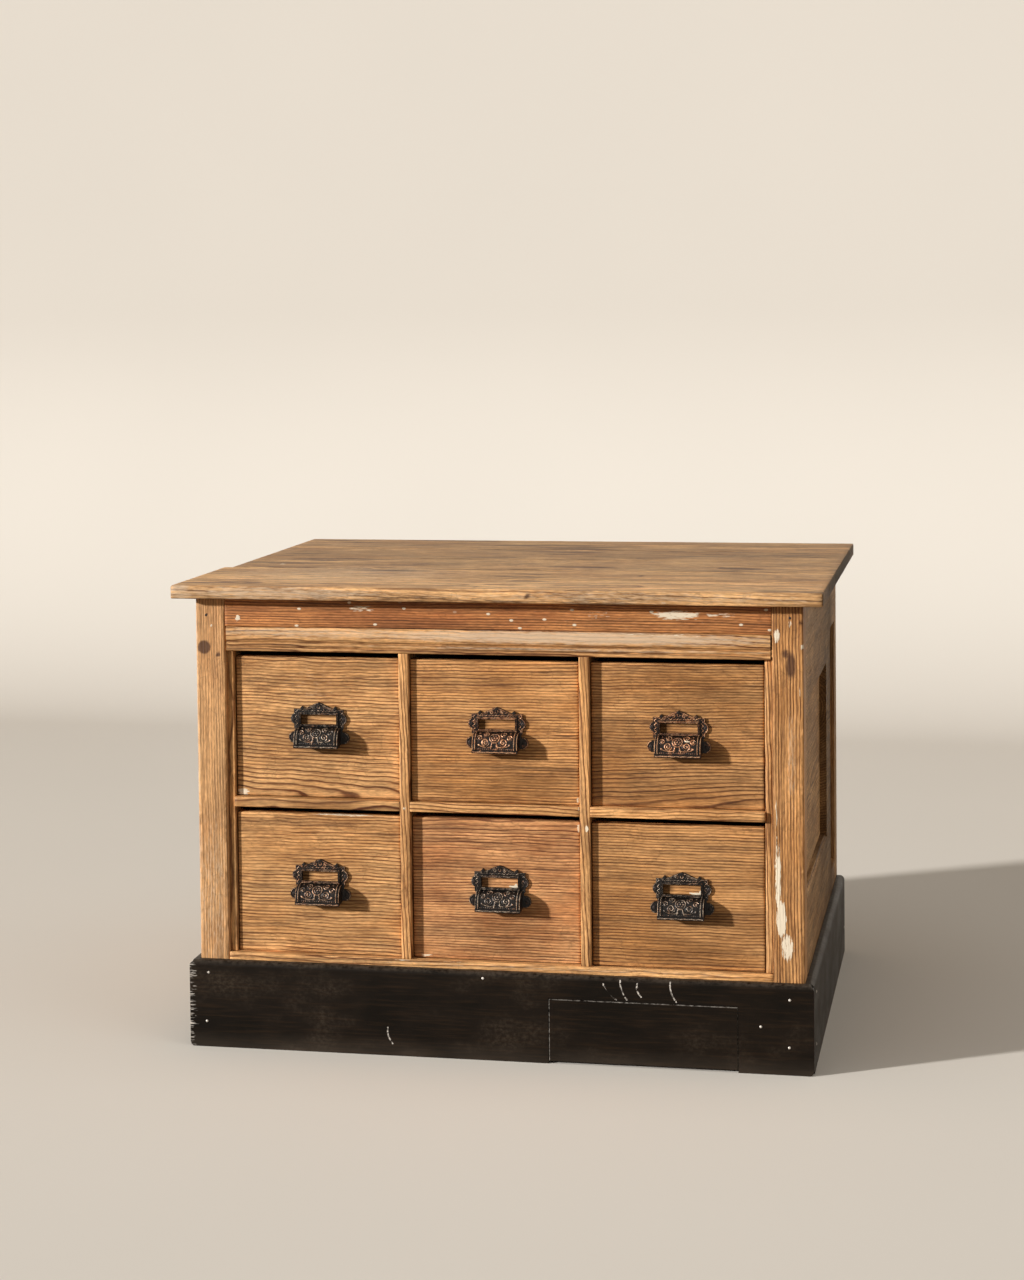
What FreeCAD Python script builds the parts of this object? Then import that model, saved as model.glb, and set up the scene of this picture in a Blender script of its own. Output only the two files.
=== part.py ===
import FreeCAD, Part
import math
import os

import Sketcher

# Six-drawer counter cabinet of pine on a black plinth, with cast-iron drawer pulls.
# Origin: centre of the footprint on the floor. +X is right as seen from the front,
# -Y is the front, +Z is up. Millimetres.

doc = FreeCAD.newDocument("bakery_cabinet")

# Driving dimensions
sizes = doc.addObject("Spreadsheet::Sheet", "sizes")
SIZES = [
    ("body_width", 1000, "over the two front posts"),
    ("body_depth", 771, "front of the posts to the rear of the back boards"),
    ("opening_height", 243, "clear height of one drawer opening"),
    ("post_width", 50, "face of a front post"),
    ("post_depth", 50, "depth of a front post and of the front frame"),
    ("post_arris", 1.5, "worn round on a front post's corners"),
    ("strip_width", 12, "filling strip beside each front post"),
    ("strip_recess", 6.5, "strip set back from the post face"),
    ("divider_width", 16.5, "upright between two bays"),
    ("rail_thickness", 16, "flat rail between two drawers"),
    ("rail_show", 12, "bottom rail seen above the plinth"),
    ("moulding_height", 40, "moulded strip over the drawers"),
    ("moulding_proud", 1.5, "moulding in front of the posts"),
    ("moulding_gap", 2, "gap between moulding and post"),
    ("moulding_groove", 3, "depth of the moulding's two quirks"),
    ("moulding_groove_width", 2, "floor of a quirk"),
    ("moulding_fillet", 4.8, "fillet at the foot of the moulding"),
    ("moulding_low_groove", 5.6, "foot of the moulding to the lower quirk"),
    ("moulding_bead_low", 8, "foot of the moulding to the bead"),
    ("moulding_bead_high", 12.8, "foot of the moulding to the bead's top"),
    ("moulding_bead_back", 0.75, "bead behind the moulding's face"),
    ("moulding_high_groove", 13.6, "foot of the moulding to the upper quirk"),
    ("moulding_fascia", 16.8, "foot of the moulding to its plain face"),
    ("moulding_ease", 1.2, "eased upper edge of the moulding"),
    ("header_height", 48, "plain board over the moulding"),
    ("header_thickness", 24, "header board and moulding, front to back"),
    ("tenon_length", 28, "rail tenon into a post"),
    ("tenon_thickness", 8, "rail tenon"),
    ("tenon_shoulder", 5, "shoulder each side of a rail tenon"),
    ("tenon_end_gap", 1, "space past the end of a tenon"),
    ("rear_post_depth", 56, "rear post, front to back"),
    ("side_thickness", 22, "side frame"),
    ("side_panel_thickness", 10, "panel in a side frame"),
    ("side_bevel", 5, "bevel round the side panel"),
    ("side_foot", 100, "floor to the lower edge of side frames and back boards"),
    ("side_lower_rail_top", 275, "floor to the top of the lower side rail"),
    ("side_upper_rail_height", 169, "upper side rail"),
    ("side_panel_length", 455, "side panel, front to back"),
    ("side_stile_width", 100, "stile behind the side panel"),
    ("niche_bottom", 185, "floor to the bottom of the rear niche"),
    ("niche_header", 116, "wood over the rear niche"),
    ("niche_corner", 30, "hollow bracket in the niche's upper corner"),
    ("niche_panel_thickness", 6, "board at the back of the niche"),
    ("back_thickness", 12, "back board"),
    ("back_board_count", 6, "upright boards in the back"),
    ("back_board_gap", 1.5, "between two back boards"),
    ("runner_reach", 15, "runner or kicker under a drawer's edge"),
    ("guide_height", 30, "drawer guide on an outer runner"),
    ("stop_height", 25, "drawer stop"),
    ("top_thickness", 22, "top boards"),
    ("top_side_overhang", 33, "top past the posts"),
    ("top_front_overhang", 30, "top past the front"),
    ("top_back_overhang", 13, "top past the back boards"),
    ("top_front_board", 144, "width of each of the two front top boards"),
    ("top_rear_board_count", 3, "boards behind those two"),
    ("top_rear_inset", 14, "rear boards end short on the left"),
    ("top_joint_gap", 0.6, "open joint between two top boards"),
    ("top_arris", 5, "round on the front edge of the top"),
    ("plinth_height", 144, "plinth boards"),
    ("plinth_thickness", 15, "plinth boards"),
    ("plinth_round", 9, "round on the upper edge of the plinth"),
    ("plinth_rear_gap", 12, "side plinth ends before the rear"),
    ("patch_right", 120.5, "right end of the plinth to the patch"),
    ("patch_width", 305, "patch let into the front plinth"),
    ("patch_height", 101, "patch let into the front plinth"),
    ("patch_lift", 4, "patch clear of the floor"),
    ("patch_gap", 0.6, "joint round the patch"),
    ("front_side_gap", 1.5, "each side of a drawer front"),
    ("front_top_gap", 10.7, "over a drawer front"),
    ("front_bottom_gap", 0.8, "under a drawer front"),
    ("front_thickness", 20, "drawer front"),
    ("front_arris", 1.5, "eased edges of a drawer front"),
    ("front_lap", 6, "wood of the front ahead of the dovetails"),
    ("drawer_length", 660, "drawer, front to back"),
    ("drawer_side_height", 224, "drawer side"),
    ("drawer_side_thickness", 12, "drawer side"),
    ("drawer_back_thickness", 12, "drawer back"),
    ("drawer_back_drop", 10, "drawer back below the sides"),
    ("drawer_bottom_thickness", 8, "drawer bottom"),
    ("drawer_groove_depth", 5, "groove for the bottom in sides and front"),
    ("drawer_groove_height", 9, "wood under the bottom"),
    ("tail_count", 4, "dovetails at each front corner"),
    ("tail_share", 0.55, "narrow end of a dovetail over its pitch"),
    ("tail_slope", 10, "dovetail slope in degrees"),
    ("pull_height", 130, "foot of the drawer front to the centre of the label window"),
    ("pull_plate", 3, "thickness of the pull's plate"),
    ("pull_frame_width", 84, "label frame"),
    ("pull_frame_top", 16, "label frame above the window's centre"),
    ("pull_frame_bottom", 15, "label frame below the window's centre"),
    ("window_width", 60.4, "label window"),
    ("window_top", 7.5, "label window above its centre"),
    ("window_bottom", 9, "label window below its centre"),
    ("rim_width", 3.4, "raised rim round the window"),
    ("rim_height", 3, "raised rim round the window"),
    ("crest_width", 56, "crest over the label frame"),
    ("crest_cap_width", 17, "flat cap of the crest"),
    ("crest_height", 8, "crest up to its cap"),
    ("crest_rise", 2, "crown of the crest's cap"),
    ("crest_hollow_radius", 80, "hollow flank of the crest"),
    ("finial_half", 3.4, "pointed finials on the crest, centre to point"),
    ("finial_place", 28, "centre of the pull to a side finial"),
    ("finial_lift", 1.6, "side finial's centre above the label frame"),
    ("finial_proud", 1, "finials in front of the plate"),
    ("lobe_radius", 10, "screw lobe beside the window"),
    ("lobe_place", 37.5, "centre of the pull to a lobe"),
    ("ear_radius", 9.5, "screw ear beside the cup"),
    ("ear_place", 42, "centre of the pull to an ear"),
    ("ear_drop", 31, "window centre down to an ear"),
    ("lobe_screw_place", 43.2, "centre of the pull to a screw beside the window"),
    ("ear_screw_place", 45, "centre of the pull to a screw beside the cup"),
    ("cup_width", 74.6, "finger cup"),
    ("cup_wall", 2.5, "wall of the finger cup"),
    ("cup_projection", 26, "cup in front of the drawer"),
    ("cup_bottom", 45, "window centre down to the cup's edge"),
    ("cup_shoulder", 17, "height of the cup's curve"),
    ("cup_end_rise", 4, "cup's end walls rise towards the drawer"),
    ("cup_flange", 2.2, "plate outside the cup's end walls"),
    ("flange_slope", 3.5, "label frame narrows to the flange over this height"),
    ("cup_lip_radius", 2.6, "rolled lower edge of the cup"),
    ("cup_rib_height", 1.2, "ribs near the cup's ends"),
    ("cup_rib_width", 5, "ribs near the cup's ends"),
    ("cup_rib_place", 29.5, "centre of the pull to a rib"),
    ("screw_head_radius", 3, "round screw head"),
    ("screw_head_height", 1.5, "round screw head"),
    ("screw_shank_radius", 1.6, "screw shank"),
    ("screw_hole_gap", 0.2, "screw hole round the shank"),
    ("screw_length", 15, "screw below its head"),
    ("top_left_setback", 14, "drawer front behind the posts"),
    ("top_middle_setback", 8, "drawer front behind the posts"),
    ("top_right_setback", 12, "drawer front behind the posts"),
    ("bottom_left_setback", 11.5, "drawer front behind the posts"),
    ("bottom_middle_setback", 11.5, "drawer front behind the posts"),
    ("bottom_right_setback", 8, "drawer front behind the posts"),
    ("top_left_pull_shift", 2.6, "pull right of the drawer's middle"),
    ("top_middle_pull_shift", 5.1, "pull right of the drawer's middle"),
    ("top_right_pull_shift", 3.1, "pull right of the drawer's middle"),
    ("bottom_left_pull_shift", 2.4, "pull right of the drawer's middle"),
    ("bottom_middle_pull_shift", 6.5, "pull right of the drawer's middle"),
    ("bottom_right_pull_shift", 6.8, "pull right of the drawer's middle"),
]
for row, (alias, value, meaning) in enumerate(SIZES, 1):
    sizes.set("A%d" % row, meaning)
    sizes.set("B%d" % row, str(value))
    sizes.setAlias("B%d" % row, alias)

# Places worked out from the driving dimensions
places = doc.addObject("Spreadsheet::Sheet", "places")
PLACES = [
    ("front", "-(sizes.body_depth + sizes.top_back_overhang - sizes.top_front_overhang) / 2"),
    ("back", "front + sizes.body_depth"),
    ("side", "sizes.body_width / 2"),
    ("post_inner", "side - sizes.post_width"),
    ("strip_inner", "post_inner - sizes.strip_width"),
    ("side_inner", "side - sizes.side_thickness"),
    ("bay_width", "(2 * strip_inner - 2 * sizes.divider_width) / 3"),
    ("bay_pitch", "bay_width + sizes.divider_width"),
    ("frame_rear", "front + sizes.post_depth"),
    ("rear_post_front", "back - sizes.rear_post_depth"),
    ("back_boards_front", "back - sizes.back_thickness"),
    ("rail_top", "sizes.plinth_height + sizes.rail_show"),
    ("cross_bottom", "rail_top + sizes.opening_height"),
    ("cross_top", "cross_bottom + sizes.rail_thickness"),
    ("head_bottom", "cross_top + sizes.opening_height"),
    ("header_bottom", "head_bottom + sizes.moulding_height"),
    ("body_top", "header_bottom + sizes.header_height"),
    ("stile_front", "frame_rear + sizes.side_panel_length"),
    ("stile_rear", "stile_front + sizes.side_stile_width"),
    ("upper_rail_bottom", "body_top - sizes.side_upper_rail_height"),
    ("niche_top", "body_top - sizes.niche_header"),
    ("niche_length", "rear_post_front - stile_rear"),
    ("top_front", "front - sizes.top_front_overhang"),
    ("top_length", "sizes.body_width + 2 * sizes.top_side_overhang"),
    ("top_depth", "sizes.body_depth + sizes.top_front_overhang + sizes.top_back_overhang"),
    ("top_rear_board", "(top_depth - 2 * sizes.top_front_board) / sizes.top_rear_board_count"),
    ("back_width", "2 * post_inner"),
    ("back_board", "(back_width + sizes.back_board_gap) / sizes.back_board_count"),
    ("patch_left", "side + sizes.plinth_thickness - sizes.patch_right - sizes.patch_width"),
    ("front_width", "bay_width - 2 * sizes.front_side_gap"),
    ("front_height", "sizes.opening_height - sizes.front_top_gap - sizes.front_bottom_gap"),
    ("drawer_inner", "front_width - 2 * sizes.drawer_side_thickness"),
    ("tail_pitch", "sizes.drawer_side_height / sizes.tail_count"),
    ("tail_length", "sizes.front_thickness - sizes.front_lap"),
    ("tail_narrow", "tail_pitch * sizes.tail_share"),
    ("tail_flare", "tail_length * tan(sizes.tail_slope * 1 deg)"),
    ("bottom_top", "sizes.drawer_groove_height + sizes.drawer_bottom_thickness"),
    ("back_height", "sizes.drawer_side_height - sizes.drawer_back_drop - bottom_top"),
]
for row, (alias, formula) in enumerate(PLACES, 1):
    places.set("A%d" % row, alias)
    places.set("B%d" % row, "=" + formula)
    places.setAlias("B%d" % row, alias)
doc.recompute()


def value_of(expression):
    """The number that an expression gives now."""
    result = places.evalExpression(expression)
    return float(getattr(result, "Value", result))


def sized(text):
    """Write size.x for a driving dimension and place.x for a place worked out from them."""
    return text.replace("place.", "places.").replace("size.", "sizes.")


def place(thing, x, y, z):
    """Bind a piece's position to three expressions."""
    for axis, text in zip("xyz", (x, y, z)):
        thing.setExpression("Placement.Base." + axis, sized(text))


def box(name, x, y, z, length, width, height):
    """A plain board from its low corner and its three sizes."""
    board = doc.addObject("Part::Box", name)
    board.setExpression("Length", sized(length))
    board.setExpression("Width", sized(width))
    board.setExpression("Height", sized(height))
    place(board, x, y, z)
    return board


def group(name, pieces):
    """Several separate solids that make one node."""
    compound = doc.addObject("Part::Compound", name)
    compound.Links = pieces
    return compound


def fused(name, pieces):
    union = doc.addObject("Part::MultiFuse", name)
    union.Shapes = pieces
    return union


def cut(name, base, tool):
    result = doc.addObject("Part::Cut", name)
    result.Base = base
    result.Tool = tool
    return result


def mirrored(name, source, x):
    """The same piece on the other side of the upright plane at x."""
    copy = doc.addObject("Part::Mirroring", name)
    copy.Source = source
    copy.Normal = FreeCAD.Vector(1, 0, 0)
    copy.setExpression("Base.x", sized(x))
    return copy


def new_body(name, x, y, z):
    body = doc.addObject("PartDesign::Body", name)
    place(body, x, y, z)
    return body


def origin_plane(body, role):
    return [feature for feature in body.Origin.OriginFeatures if feature.Role == role][0]


def new_sketch(body, name, role, offset=None):
    """A sketch on one of the body's own planes, moved along its normal by offset."""
    sketch = body.newObject("Sketcher::SketchObject", name)
    sketch.AttachmentSupport = [(origin_plane(body, role), "")]
    sketch.MapMode = "FlatFace"
    if offset:
        sketch.setExpression("AttachmentOffset.Base.z", sized(offset))
    return sketch


def pin(sketch, geometry, point, u, v):
    """Fix one point of the sketch at two expressions."""
    for kind, text in (("DistanceX", u), ("DistanceY", v)):
        distance = Sketcher.Constraint(kind, -1, 1, geometry, point, value_of(sized(text)))
        number = sketch.addConstraint(distance)
        sketch.setExpression("Constraints[%d]" % number, sized(text))


def arc_between(start, end, radius, side):
    """The short arc between two points, its centre to the left (1) or right (-1) of the way.

    An arc is drawn anticlockwise, so one with its centre to the right runs from end to start."""
    chord = end - start
    height = math.sqrt(max(radius * radius - chord.Length * chord.Length / 4, 0))
    left = FreeCAD.Vector(-chord.y, chord.x, 0).normalize()
    centre = (start + end) / 2 + left * (height * side)
    middle = centre - left * (radius * side)
    return Part.Arc(start, middle, end) if side > 0 else Part.Arc(end, middle, start)


def outline(sketch, corners):
    """A closed outline. Each corner is (u, v), or (u, v, radius, side) where an arc leaves it."""
    first = sketch.GeometryCount
    points = [FreeCAD.Vector(value_of(sized(c[0])), value_of(sized(c[1])), 0) for c in corners]
    ends = []
    for number, corner in enumerate(corners):
        start = points[number]
        end = points[(number + 1) % len(points)]
        if len(corner) == 2:
            sketch.addGeometry(Part.LineSegment(start, end))
            ends.append((1, 2))
            continue
        sketch.addGeometry(arc_between(start, end, value_of(sized(corner[2])), corner[3]))
        ends.append((1, 2) if corner[3] > 0 else (2, 1))
    for number, corner in enumerate(corners):
        following = (number + 1) % len(corners)
        meeting = (first + number, ends[number][1], first + following, ends[following][0])
        sketch.addConstraint(Sketcher.Constraint("Coincident", *meeting))
        pin(sketch, first + number, ends[number][0], corner[0], corner[1])
    for number, corner in enumerate(corners):
        if len(corner) > 2:
            radius = Sketcher.Constraint("Radius", first + number, value_of(sized(corner[2])))
            added = sketch.addConstraint(radius)
            sketch.setExpression("Constraints[%d]" % added, sized(corner[2]))


def rectangle(sketch, u_low, v_low, u_high, v_high):
    outline(sketch, [(u_low, v_low), (u_high, v_low), (u_high, v_high), (u_low, v_high)])


def circle(sketch, u, v, radius):
    centre = FreeCAD.Vector(value_of(sized(u)), value_of(sized(v)), 0)
    number = sketch.addGeometry(Part.Circle(centre, FreeCAD.Vector(0, 0, 1), value_of(sized(radius))))
    pin(sketch, number, 3, u, v)
    added = sketch.addConstraint(Sketcher.Constraint("Radius", number, value_of(sized(radius))))
    sketch.setExpression("Constraints[%d]" % added, sized(radius))


def flat_sided(sketch, u, v, radius, flats):
    """A regular polygon round a point, its first corner straight to the right."""
    corners = []
    for number in range(flats):
        turn = 360 / flats * number
        across = "%s + (%s) * cos(%g deg)" % (u, radius, turn)
        up = "%s + (%s) * sin(%g deg)" % (v, radius, turn)
        corners.append((across, up))
    outline(sketch, corners)


def pad(body, sketch, length, symmetric=False, backwards=False):
    feature = body.newObject("PartDesign::Pad", sketch.Name + "_pad")
    feature.Profile = sketch
    feature.Reversed = backwards
    if symmetric:
        feature.SideType = "Symmetric"
    feature.setExpression("Length", sized(length))
    return feature


pockets = []


def pocket(body, sketch, length, symmetric=False, backwards=False):
    """A pocket, kept for the test that each one takes something away."""
    feature = body.newObject("PartDesign::Pocket", sketch.Name + "_pocket")
    feature.Profile = sketch
    feature.Reversed = backwards
    if symmetric:
        feature.SideType = "Symmetric"
    feature.setExpression("Length", sized(length))
    pockets.append(feature)
    return feature


def edges_where(feature, wanted):
    """Names of the edges whose two ends satisfy wanted together."""
    names = []
    for number, edge in enumerate(feature.Shape.Edges, 1):
        ends = [vertex.Point for vertex in edge.Vertexes]
        if len(ends) == 2 and wanted(ends[0], ends[1]):
            names.append("Edge%d" % number)
    return names


def rounded(body, feature, wanted, radius, kind="Fillet"):
    """Round or bevel the edges of a feature that satisfy wanted."""
    doc.recompute([feature])
    dressed = body.newObject("PartDesign::" + kind, feature.Name + "_edge")
    dressed.Base = (feature, edges_where(feature, wanted))
    dressed.setExpression("Radius" if kind == "Fillet" else "Size", sized(radius))
    return dressed


TOUCHING = 1e-4


def near(a, b):
    """Whether two places are the same for choosing edges."""
    return abs(a - b) < TOUCHING


nodes = []


def node(label, thing):
    """Name a finished piece and keep it for writing out."""
    thing.Label = label
    nodes.append((label, thing))
    return thing


# Rails with a tenon at each end, and the mortises that they need
mortises = []


def tenoned_rail(name, y, z, depth, height, tenon_y, tenon_z, tenon_depth, tenon_height):
    """A rail between the posts. The tenons are one long tongue through it."""
    rail = box(name + "_rail", "-place.post_inner", y, z, "2 * place.post_inner", depth, height)
    reach = "(place.post_inner + size.tenon_length)"
    tongue = box(name + "_tongue", "-" + reach, tenon_y, tenon_z, "2 * " + reach, tenon_depth, tenon_height)
    room = "(place.post_inner + size.tenon_length + size.tenon_end_gap)"
    mortise = box(name + "_mortise", "-" + room, tenon_y, tenon_z, "2 * " + room, tenon_depth, tenon_height)
    mortises.append(mortise)
    return fused(name, [rail, tongue])


def flat_rail(name, y, z, depth):
    """A rail laid flat, its tenon half its thickness."""
    tenon_y = y + " + size.tenon_shoulder"
    tenon_z = z + " + (size.rail_thickness - size.tenon_thickness) / 2"
    tenon_depth = depth + " - 2 * size.tenon_shoulder"
    return tenoned_rail(name, y, z, depth, "size.rail_thickness",
                        tenon_y, tenon_z, tenon_depth, "size.tenon_thickness")


def front_frame():
    tenon_y = "place.front + (size.header_thickness - size.tenon_thickness) / 2"
    tenon_z = "place.header_bottom + size.tenon_shoulder"
    header = tenoned_rail(
        "header", "place.front", "place.header_bottom", "size.header_thickness", "size.header_height",
        tenon_y, tenon_z, "size.tenon_thickness", "size.header_height - 2 * size.tenon_shoulder",
    )
    node("header_board", header)
    node("bottom_rail", flat_rail("bottom_rail_front", "place.front", "place.rail_top - size.rail_thickness",
                                  "size.post_depth"))

    # The moulding: a plain upper fascia, a bead between two quirks, and a lower fillet.
    moulding = new_body("moulding_body", "0", "place.front", "place.head_bottom")
    profile = new_sketch(moulding, "moulding_profile", "YZ_Plane")
    face = "-size.moulding_proud"
    floor = "-size.moulding_proud + size.moulding_groove"
    outline(profile, [
        (face, "0"),
        ("size.header_thickness", "0"),
        ("size.header_thickness", "size.moulding_height"),
        (face + " + size.moulding_ease", "size.moulding_height"),
        (face, "size.moulding_height - size.moulding_ease"),
        (face, "size.moulding_fascia"),
        (floor, "size.moulding_high_groove + size.moulding_groove_width"),
        (floor, "size.moulding_high_groove"),
        (face + " + size.moulding_bead_back", "size.moulding_bead_high"),
        (face + " + size.moulding_bead_back", "size.moulding_bead_low"),
        (floor, "size.moulding_low_groove + size.moulding_groove_width"),
        (floor, "size.moulding_low_groove"),
        (face, "size.moulding_fillet"),
    ])
    pad(moulding, profile, "2 * place.post_inner - 2 * size.moulding_gap", symmetric=True)
    node("header_moulding", moulding)

    for side, x in (("left", "-place.bay_width / 2 - size.divider_width"), ("right", "place.bay_width / 2")):
        divider = box("divider_" + side, x, "place.front", "place.rail_top",
                      "size.divider_width", "size.post_depth", "place.head_bottom - place.rail_top")
        node("divider_" + side, divider)

    rails = []
    for number, column in enumerate((-1, 0, 1)):
        x = "%d * place.bay_pitch - place.bay_width / 2" % column
        rails.append(box("cross_rail_%d" % number, x, "place.front", "place.cross_bottom",
                         "place.bay_width", "size.post_depth", "size.rail_thickness"))
    node("cross_rails", group("cross_rail_group", rails))

    strips = []
    for number, x in enumerate(("-place.post_inner", "place.strip_inner")):
        strips.append(box("edge_strip_%d" % number, x, "place.front + size.strip_recess", "place.rail_top",
                          "size.strip_width", "size.post_depth - size.strip_recess",
                          "place.head_bottom - place.rail_top"))
    node("edge_strips", group("edge_strip_group", strips))


def back_frame():
    rails = []
    for name, z in (("low", "place.rail_top - size.rail_thickness"), ("middle", "place.cross_bottom"),
                    ("high", "place.head_bottom")):
        rails.append(flat_rail("back_rail_" + name, "place.rear_post_front", z,
                               "(size.rear_post_depth - size.back_thickness)"))
    node("back_rails", group("back_rail_group", rails))

    boards = []
    for number in range(int(sizes.back_board_count)):
        x = "-place.post_inner + %d * place.back_board" % number
        boards.append(box("back_board_%d" % number, x, "place.back_boards_front", "size.side_foot",
                          "place.back_board - size.back_board_gap", "size.back_thickness",
                          "place.body_top - size.side_foot"))
    node("back_boards", group("back_board_group", boards))


def posts():
    """Four posts from the floor to the top boards, mortised for the rails."""
    tools = fused("mortise_tools", mortises)
    rear = []
    for side, front_x, rear_x in (("left", "-place.side", "-place.side"),
                                  ("right", "place.post_inner", "place.post_inner")):
        post = new_body("front_post_body_" + side, front_x, "place.front", "0")
        section = new_sketch(post, "front_post_section_" + side, "XY_Plane")
        rectangle(section, "0", "0", "size.post_width", "size.post_depth")
        shaft = pad(post, section, "place.body_top")
        rounded(post, shaft, lambda a, b: near(a.x, b.x) and near(a.y, 0) and near(b.y, 0), "size.post_arris")
        node("front_post_" + side, cut("front_post_" + side, post, tools))
        square = box("rear_post_blank_" + side, rear_x, "place.rear_post_front", "0",
                     "size.post_width", "size.rear_post_depth", "place.body_top")
        rear.append(cut("rear_post_" + side, square, tools))
    node("rear_posts", group("rear_post_group", rear))


def side_frames():
    """Rails, stile and rear niche of the left side, and the same on the right."""
    def member(name, corners):
        body = new_body("side_" + name, "-place.side", "0", "0")
        face = new_sketch(body, "side_face_" + name, "YZ_Plane")
        outline(face, corners)
        return body, pad(body, face, "size.side_thickness")

    def upright_box(low_y, low_z, high_y, high_z):
        return [(low_y, low_z), (high_y, low_z), (high_y, high_z), (low_y, high_z)]

    upper, upper_pad = member("upper_rail", upright_box(
        "place.frame_rear", "place.upper_rail_bottom", "place.stile_front", "place.body_top"))
    low_edge = value_of("places.upper_rail_bottom")
    rounded(upper, upper_pad, lambda a, b: near(a.x, b.x) and near(a.x, 0) and near(a.z, low_edge)
            and near(b.z, low_edge), "size.side_bevel", "Chamfer")

    lower, lower_pad = member("lower_rail", upright_box(
        "place.frame_rear", "size.side_foot", "place.stile_front", "size.side_lower_rail_top"))
    high_edge = value_of("sizes.side_lower_rail_top")
    rounded(lower, lower_pad, lambda a, b: near(a.x, b.x) and near(a.x, 0) and near(a.z, high_edge)
            and near(b.z, high_edge), "size.side_bevel", "Chamfer")

    stile = member("stile", upright_box(
        "place.stile_front", "size.side_foot", "place.stile_rear", "place.body_top"))[0]
    niche_head = member("niche_head", [
        ("place.stile_rear", "place.body_top"),
        ("place.rear_post_front", "place.body_top"),
        ("place.rear_post_front", "place.niche_top"),
        ("place.stile_rear + size.niche_corner", "place.niche_top", "size.niche_corner", 1),
        ("place.stile_rear", "place.niche_top - size.niche_corner"),
    ])[0]
    niche_foot = member("niche_foot", upright_box(
        "place.stile_rear", "size.side_foot", "place.rear_post_front", "size.niche_bottom"))[0]
    left = node("side_frame_left", group("side_frame_left", [upper, lower, stile, niche_head, niche_foot]))
    node("side_frame_right", mirrored("side_frame_right", left, "0"))

    panel = box("side_panel", "-place.side_inner - size.side_panel_thickness", "place.frame_rear",
                "size.side_lower_rail_top", "size.side_panel_thickness", "size.side_panel_length",
                "place.upper_rail_bottom - size.side_lower_rail_top")
    niche_board = box("niche_board", "-place.side_inner - size.niche_panel_thickness", "place.stile_rear",
                      "size.niche_bottom", "size.niche_panel_thickness", "place.niche_length",
                      "place.niche_top - size.niche_bottom")
    panels = group("side_panels_left", [panel, cut("niche_panel", niche_board, niche_head)])
    node("side_panels", group("side_panels", [panels, mirrored("side_panels_right", panels, "0")]))


def bearers(name, z):
    """Six strips, one under or over each edge of the three bays."""
    length = "place.rear_post_front - place.frame_rear"
    outer = "place.side_inner - place.strip_inner + size.runner_reach"
    strips = []
    for column in (-1, 0, 1):
        for edge in (-1, 1):
            inner_x = "%d * place.bay_pitch + (%d) * place.bay_width / 2" % (column, edge)
            if column == edge:
                x = "-place.side_inner" if edge < 0 else "place.strip_inner - size.runner_reach"
                width = outer
            else:
                x = inner_x if edge < 0 else inner_x + " - size.runner_reach"
                width = "size.runner_reach"
            label = "%s_%d_%d" % (name, column + 1, edge + 1)
            strips.append(box(label, x, "place.frame_rear", z, width, length, "size.rail_thickness"))
    return strips


def drawer_bearers():
    length = "place.rear_post_front - place.frame_rear"
    foot = "place.rail_top - size.rail_thickness"
    partitions = []
    for side, x in (("left", "-place.bay_width / 2 - size.divider_width"), ("right", "place.bay_width / 2")):
        partitions.append(box("partition_" + side, x, "place.frame_rear", foot, "size.divider_width", length,
                              "place.body_top - (%s)" % foot))
    node("partitions", group("partition_group", partitions))

    runners = bearers("low_runner", "place.rail_top - size.rail_thickness")
    runners += bearers("middle_runner", "place.cross_bottom")
    node("drawer_runners", group("runner_group", runners))
    node("drawer_kickers", group("kicker_group", bearers("kicker", "place.head_bottom")))

    guides = []
    for level in ("rail_top", "cross_top"):
        for side, x in (("left", "-place.side_inner"), ("right", "place.strip_inner")):
            guides.append(box("guide_%s_%s" % (level, side), x, "place.frame_rear", "place." + level,
                              "place.side_inner - place.strip_inner", length, "size.guide_height"))
    node("drawer_guides", group("guide_group", guides))


def top():
    boards = []
    rear_count = int(sizes.top_rear_board_count)
    y = "place.top_front"
    for number in range(2 + rear_count):
        width = "size.top_front_board" if number < 2 else "place.top_rear_board"
        gap = "0" if number == 1 + rear_count else "size.top_joint_gap"
        inset = "0" if number < 2 else "size.top_rear_inset"
        board = new_body("top_board_%d" % number, "0", y, "place.body_top")
        plan = new_sketch(board, "top_plan_%d" % number, "XY_Plane")
        rectangle(plan, "-place.top_length / 2 + " + inset, "0", "place.top_length / 2", width + " - " + gap)
        slab = pad(board, plan, "size.top_thickness")
        if number == 0:
            rounded(board, slab, lambda a, b: near(a.y, 0) and near(b.y, 0) and near(a.z, b.z),
                    "size.top_arris")
        boards.append(board)
        y += " + " + width
    node("top_boards", group("top_board_group", boards))


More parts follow.
